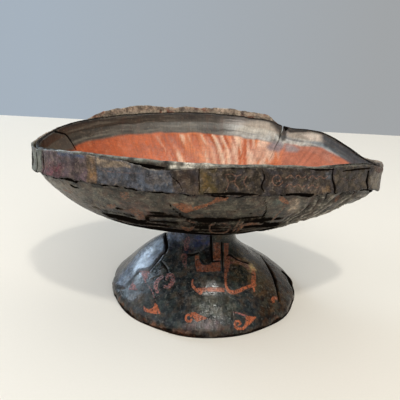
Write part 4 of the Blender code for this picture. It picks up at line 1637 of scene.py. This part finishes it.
# Patches of the strip, with painted reflections and highlights among them
BAND_PATCHES_AND_PAINTED_LIGHT = (
    Patch("#231a14", 2, (160, 150, 400, 150, 400, 210, 186, 210)),
    Patch("#6f746a", 1.2, (26, 132, 41, 132, 42.6, 184, 26, 184), 0.25),
    Patch("#5b4a4e", 1.2, (42, 130, 87, 140, 88, 200, 42.6, 190)),
    Patch("#6e3a42", 4, (44, 163, 60, 164, 66, 184, 48, 180)),
    # Blue streak: painted reflection of the bluish window light
    Patch("#4a5670", 1.8, (56, 147, 84, 153, 84, 159, 58, 155)),
    Patch("#6a543f", 1.4, (87, 140, 96.5, 142, 96.5, 202, 87, 200), 0.1),
    Patch("#80603e", 1.6, (89.5, 172, 95.5, 173, 95.5, 182, 89.5, 181), 0.1),
    # Blue-grey: dark lacquer with a painted reflection of the bluish window light
    Patch("#4a4f58", 1.2, (96.5, 150, 168, 158, 176, 204, 97, 202), 0.05),
    Patch("#8c7a66", 1.2, (96.5, 158, 114, 160, 130, 165, 130, 168, 97, 166), 0.05),
    Patch("#31241c", 1.6, (168, 158, 199.5, 160, 199.5, 204, 186, 204, 180, 186, 170, 172), 0.1),
    Patch("#46391b", 1.6, (199.5, 160, 222, 160, 226, 204, 199.5, 204), 0.3),
    Patch("#5e481f", 1.8, (201.5, 174, 207, 172, 208.4, 190, 202.4, 190), 0.05),
    Patch("#261d12", 2, (216, 160, 262, 160, 266, 206, 217, 204), 0.15),
    Patch("#2a2019", 0.8, (264, 160, 333, 158, 333, 204, 268, 206), 0.1),
    Patch("#7c6246", 1, (321.4, 186.4, 328.8, 185.8, 329, 192.2, 322, 192.4)),
    # Painted bluish highlight
    Patch("#4a4c50", 1, (325.6, 173, 331, 172.6, 331.6, 178.4, 327, 178.4)),
    Patch("#4f4338", 2, (288, 182, 320, 181, 320, 191, 288, 192)),
    Patch("#332b20", 0.8, (334.5, 158, 365.5, 160, 366.5, 206, 334.5, 206), 0.2),
    # Pale where the rolled end catches the light: painted highlight
    Patch("#6f665a", 1.2, (369, 172, 384, 168, 384, 196, 369, 196), 0.5),
    Patch("#4c3022", 1, (372, 158, 388, 158, 388, 172, 374, 172.5), 0.4),
)

# Seams between them, and painted shadow in the gap under the strip
BAND_SEAMS_AND_SHADOW_GAP = strokes(
    # The first two: painted shadow along the lower edge of the strip
    (204, 193.4, 1, 222, 193.8, 2.4, 240, 193.8, 2.8, 257, 194.4, 1),
    (286, 194.4, 1.6, 298, 194.6, 3.2, 313, 194.2, 1.6),
    (31.6, 147, 0.3, 33.2, 160, 0.8, 32.2, 176, 0.4),
    (37, 152, 0.4, 38, 166, 0.9, 36.6, 182, 0.9),
    (168, 170, 0.3, 172, 177, 0.8, 179, 183, 0.9, 183, 191, 0.4),
    (199.4, 166, 0.6, 199, 178, 1.1, 199.6, 192, 0.8),
    (262.5, 170, 0.8, 264.6, 178, 1.3, 261.4, 186, 1.6, 264, 192, 0.8),
    (333.4, 169, 1.2, 332.6, 178, 1.6, 334.4, 186, 1.8, 333.8, 195, 1),
    (368.6, 171, 1.2, 366.8, 182, 2.2, 367, 192, 1.4),
    (42.6, 150, 0.4, 43.6, 162, 0.8, 44, 174, 0.4),
    (309, 168.8, 1, 318, 169.8, 1.8, 334, 169.4, 1.4),
    (343, 171.4, 0.8, 356, 169.6, 1.6, 370, 168.2, 1.2),
    (206, 169.4, 0.4, 228, 168.4, 0.8, 262, 169.2, 0.4),
)

# Thin lines scratched in the strip: scrolls and zigzags
BAND_LINES = strokes(
    (225, 175, 1.1, 231, 174, 1.2, 236, 176, 1.2, 241, 174.5, 1),
    (226, 176, 1, 228.5, 183, 1.2, 226.5, 190, 1),
    (236.5, 176.5, 1, 235, 183, 1.2, 239, 189, 1),
    (246.5, 176, 1, 244, 182.5, 1.2, 248, 189.5, 1),
    (229.5, 182, 1, 234.5, 181, 1),
    (
        282.5, 182, 1, 279, 185.5, 1.2, 274, 184.5, 1.3, 272, 180, 1.3, 274.5, 175.8, 1.3, 279, 175.6, 1.2,
        280.8, 179, 1.2, 278, 181.6, 1.1, 276, 180, 1,
    ),
    (286, 178, 1.1, 290, 175, 1.1, 294, 178, 1.1, 298, 175, 1.1, 302, 178, 1.1, 306, 175.5, 1.1),
    (308, 178.5, 1.1, 312, 175.5, 1.1, 316, 178.5, 1.1, 320, 176, 1.1, 324, 178.5, 1.1, 328, 176, 1.1),
    (286, 187, 1.1, 290, 184, 1.1, 294, 187, 1.1, 298, 184.5, 1.1, 302, 187.5, 1.1, 306, 185, 1.1),
    (308, 188, 1.1, 312, 185, 1.1, 316, 188, 1.1, 320, 185.5, 1.1),
)

# Faded lines on the strip
BAND_FADED = strokes(
    (100, 170, 0.8, 118, 172.5, 1.2, 140, 173.5, 0.8),
    (340, 178, 0.8, 348, 180, 1.2, 358, 178.5, 0.8),
)


# The studio


@dataclass(frozen=True)
class Lamp:
    """A soft studio light."""

    name: str
    place: tuple[float, float, float]  # in metres
    size: float  # width in metres
    watts: float
    colour: str

    def build(self) -> None:
        """Hangs the light, turned to the cup."""
        data = bpy.data.lights.new(self.name, "AREA")
        data.size, data.energy, data.color = self.size, self.watts, linear(self.colour)
        made = bpy.data.objects.new(self.name, data)
        made.location = self.place
        look = Vector((0.0, 0.0, 0.05)) - Vector(self.place)
        made.rotation_euler = look.to_track_quat("-Z", "Y").to_euler()
        made.visible_camera = False
        bpy.context.scene.collection.objects.link(made)


@dataclass(frozen=True)
class Studio:
    """The pale floor and the soft light that the cup is seen in."""

    lamps: tuple[Lamp, ...] = (
        Lamp("window_light", (-1.87, 1.41, 1.14), 0.75, 24.0, "#d3eaff"),
        Lamp("back_light", (0.3, 1.1, 2.3), 2.4, 14.0, "#fffaf2"),
        Lamp("left_light", (-2.0, -0.4, 1.1), 1.6, 13.0, "#f4f6ff"),
        Lamp("warm_light", (1.25, 0.98, 0.86), 0.25, 0.8, "#ffdc9e"),
        Lamp("overhead_light", (0.13, -0.44, 0.96), 0.075, 3.2, "#fffdf6"),
        Lamp("front_light", (0.3, -1.7, 1.5), 1.6, 22.0, "#fff8ee"),
    )
    floor_edge: float = 0.58  # how far behind the cup the floor ends, in metres
    floor_colour: str = "#e4ded3"
    wall_colours: tuple[str, str] = ("#a3afbb", "#9ea1a3")  # of the backdrop, at its left and right
    air_colour: str = "#9ea3a7"  # of the light from all round

    def sheet(
        self, name: str, corners: list[tuple[float, float, float]], settings: dict[str, Any]
    ) -> tuple[bpy.types.Object, bpy.types.NodeTree, bpy.types.NodeInputs]:
        """Lays or hangs a sheet of matt paper.

        Args:
            name: Name of the sheet.
            corners: Its four corners in metres.
            settings: Values for inputs of its shader.

        Returns:
            The sheet, its material's node tree, and the inputs of its shader.
        """
        data = bpy.data.meshes.new(name)
        data.from_pydata(corners, [], [(0, 1, 2, 3)])
        material = bpy.data.materials.new(name + "_paper")
        material.use_nodes = True
        inputs = material.node_tree.nodes["Principled BSDF"].inputs
        for key, value in settings.items():
            inputs[key].default_value = value
        data.materials.append(material)
        made = bpy.data.objects.new(name, data)
        bpy.context.scene.collection.objects.link(made)
        return made, material.node_tree, inputs

    def build(self) -> None:
        """Lays the floor, hangs the backdrop behind it and lights them."""
        for lamp in self.lamps:
            lamp.build()
        # Pale floor paper with a faint grain, which throws soft light up under the cup
        pale = linear(self.floor_colour)
        glow = {"Roughness": 0.75, "Emission Color": (*pale, 1.0), "Emission Strength": 0.07}
        far = self.floor_edge
        corners = [(-3.0, -3.0, 0.0), (3.0, -3.0, 0.0), (3.0, far, 0.0), (-3.0, far, 0.0)]
        floor, tree, inputs = self.sheet("floor", corners, glow)
        place = add_node(tree, "TexCoord", output="Object")
        grain = add_node(tree, "TexNoise", {"Vector": place, "Scale": 900.0, "Detail": 3.0})
        tint = {"Factor": grain, 6: (*(0.96 * part for part in pale), 1.0), 7: (*pale, 1.0)}
        tree.links.new(add_node(tree, "Mix", tint, 2, data_type="RGBA"), inputs["Base Color"])
        # Backdrop paper that glows evenly, bluer at its left
        glow = {"Base Color": (0.02, 0.02, 0.02, 1.0), "Roughness": 1.0, "Emission Strength": 1.0}
        corners = [(-5.0, 3.2, -2.0), (5.0, 3.2, -2.0), (5.0, 3.2, 2.5), (-5.0, 3.2, 2.5)]
        backdrop, tree, inputs = self.sheet("backdrop", corners, glow)
        place = add_node(tree, "TexCoord", output="Object")
        across = add_node(tree, "SeparateXYZ", {"Vector": place})
        share = add_node(tree, "MapRange", {"Value": across, 1: -1.2, 2: 1.2})
        left, right = ((*linear(colour), 1.0) for colour in self.wall_colours)
        tint = {"Factor": share, 6: left, 7: right}
        tree.links.new(add_node(tree, "Mix", tint, 2, data_type="RGBA"), inputs["Emission Color"])
        world = bpy.data.worlds.new("studio")
        world.use_nodes = True
        air = world.node_tree.nodes["Background"].inputs
        air["Color"].default_value = (*linear(self.air_colour), 1.0)
        air["Strength"].default_value = 1.0
        bpy.context.scene.world = world
        bpy.context.scene.view_settings.view_transform = "Standard"


def report(piece: bpy.types.Object) -> None:
    """Logs a piece's triangles and size.

    Args:
        piece: The piece.
    """
    piece.data.calc_loop_triangles()
    size = [round(1000 * side, 1) for side in piece.dimensions]
    log.info("%s: %d triangles, %s mm", piece.name, len(piece.data.loop_triangles), size)


def main() -> None:
    """Builds the pieces in order and puts them in the studio."""
    logging.basicConfig(level=logging.INFO, format="%(name)s %(message)s")
    sight, mouth = Sight(), Mouth()
    sight.camera()
    for piece in (StemFoot(sight), Bowl(mouth, Crack(), sight), RimBand(mouth, sight)):
        report(piece.build())
    Studio().build()


if __name__ == "__main__":
    main()
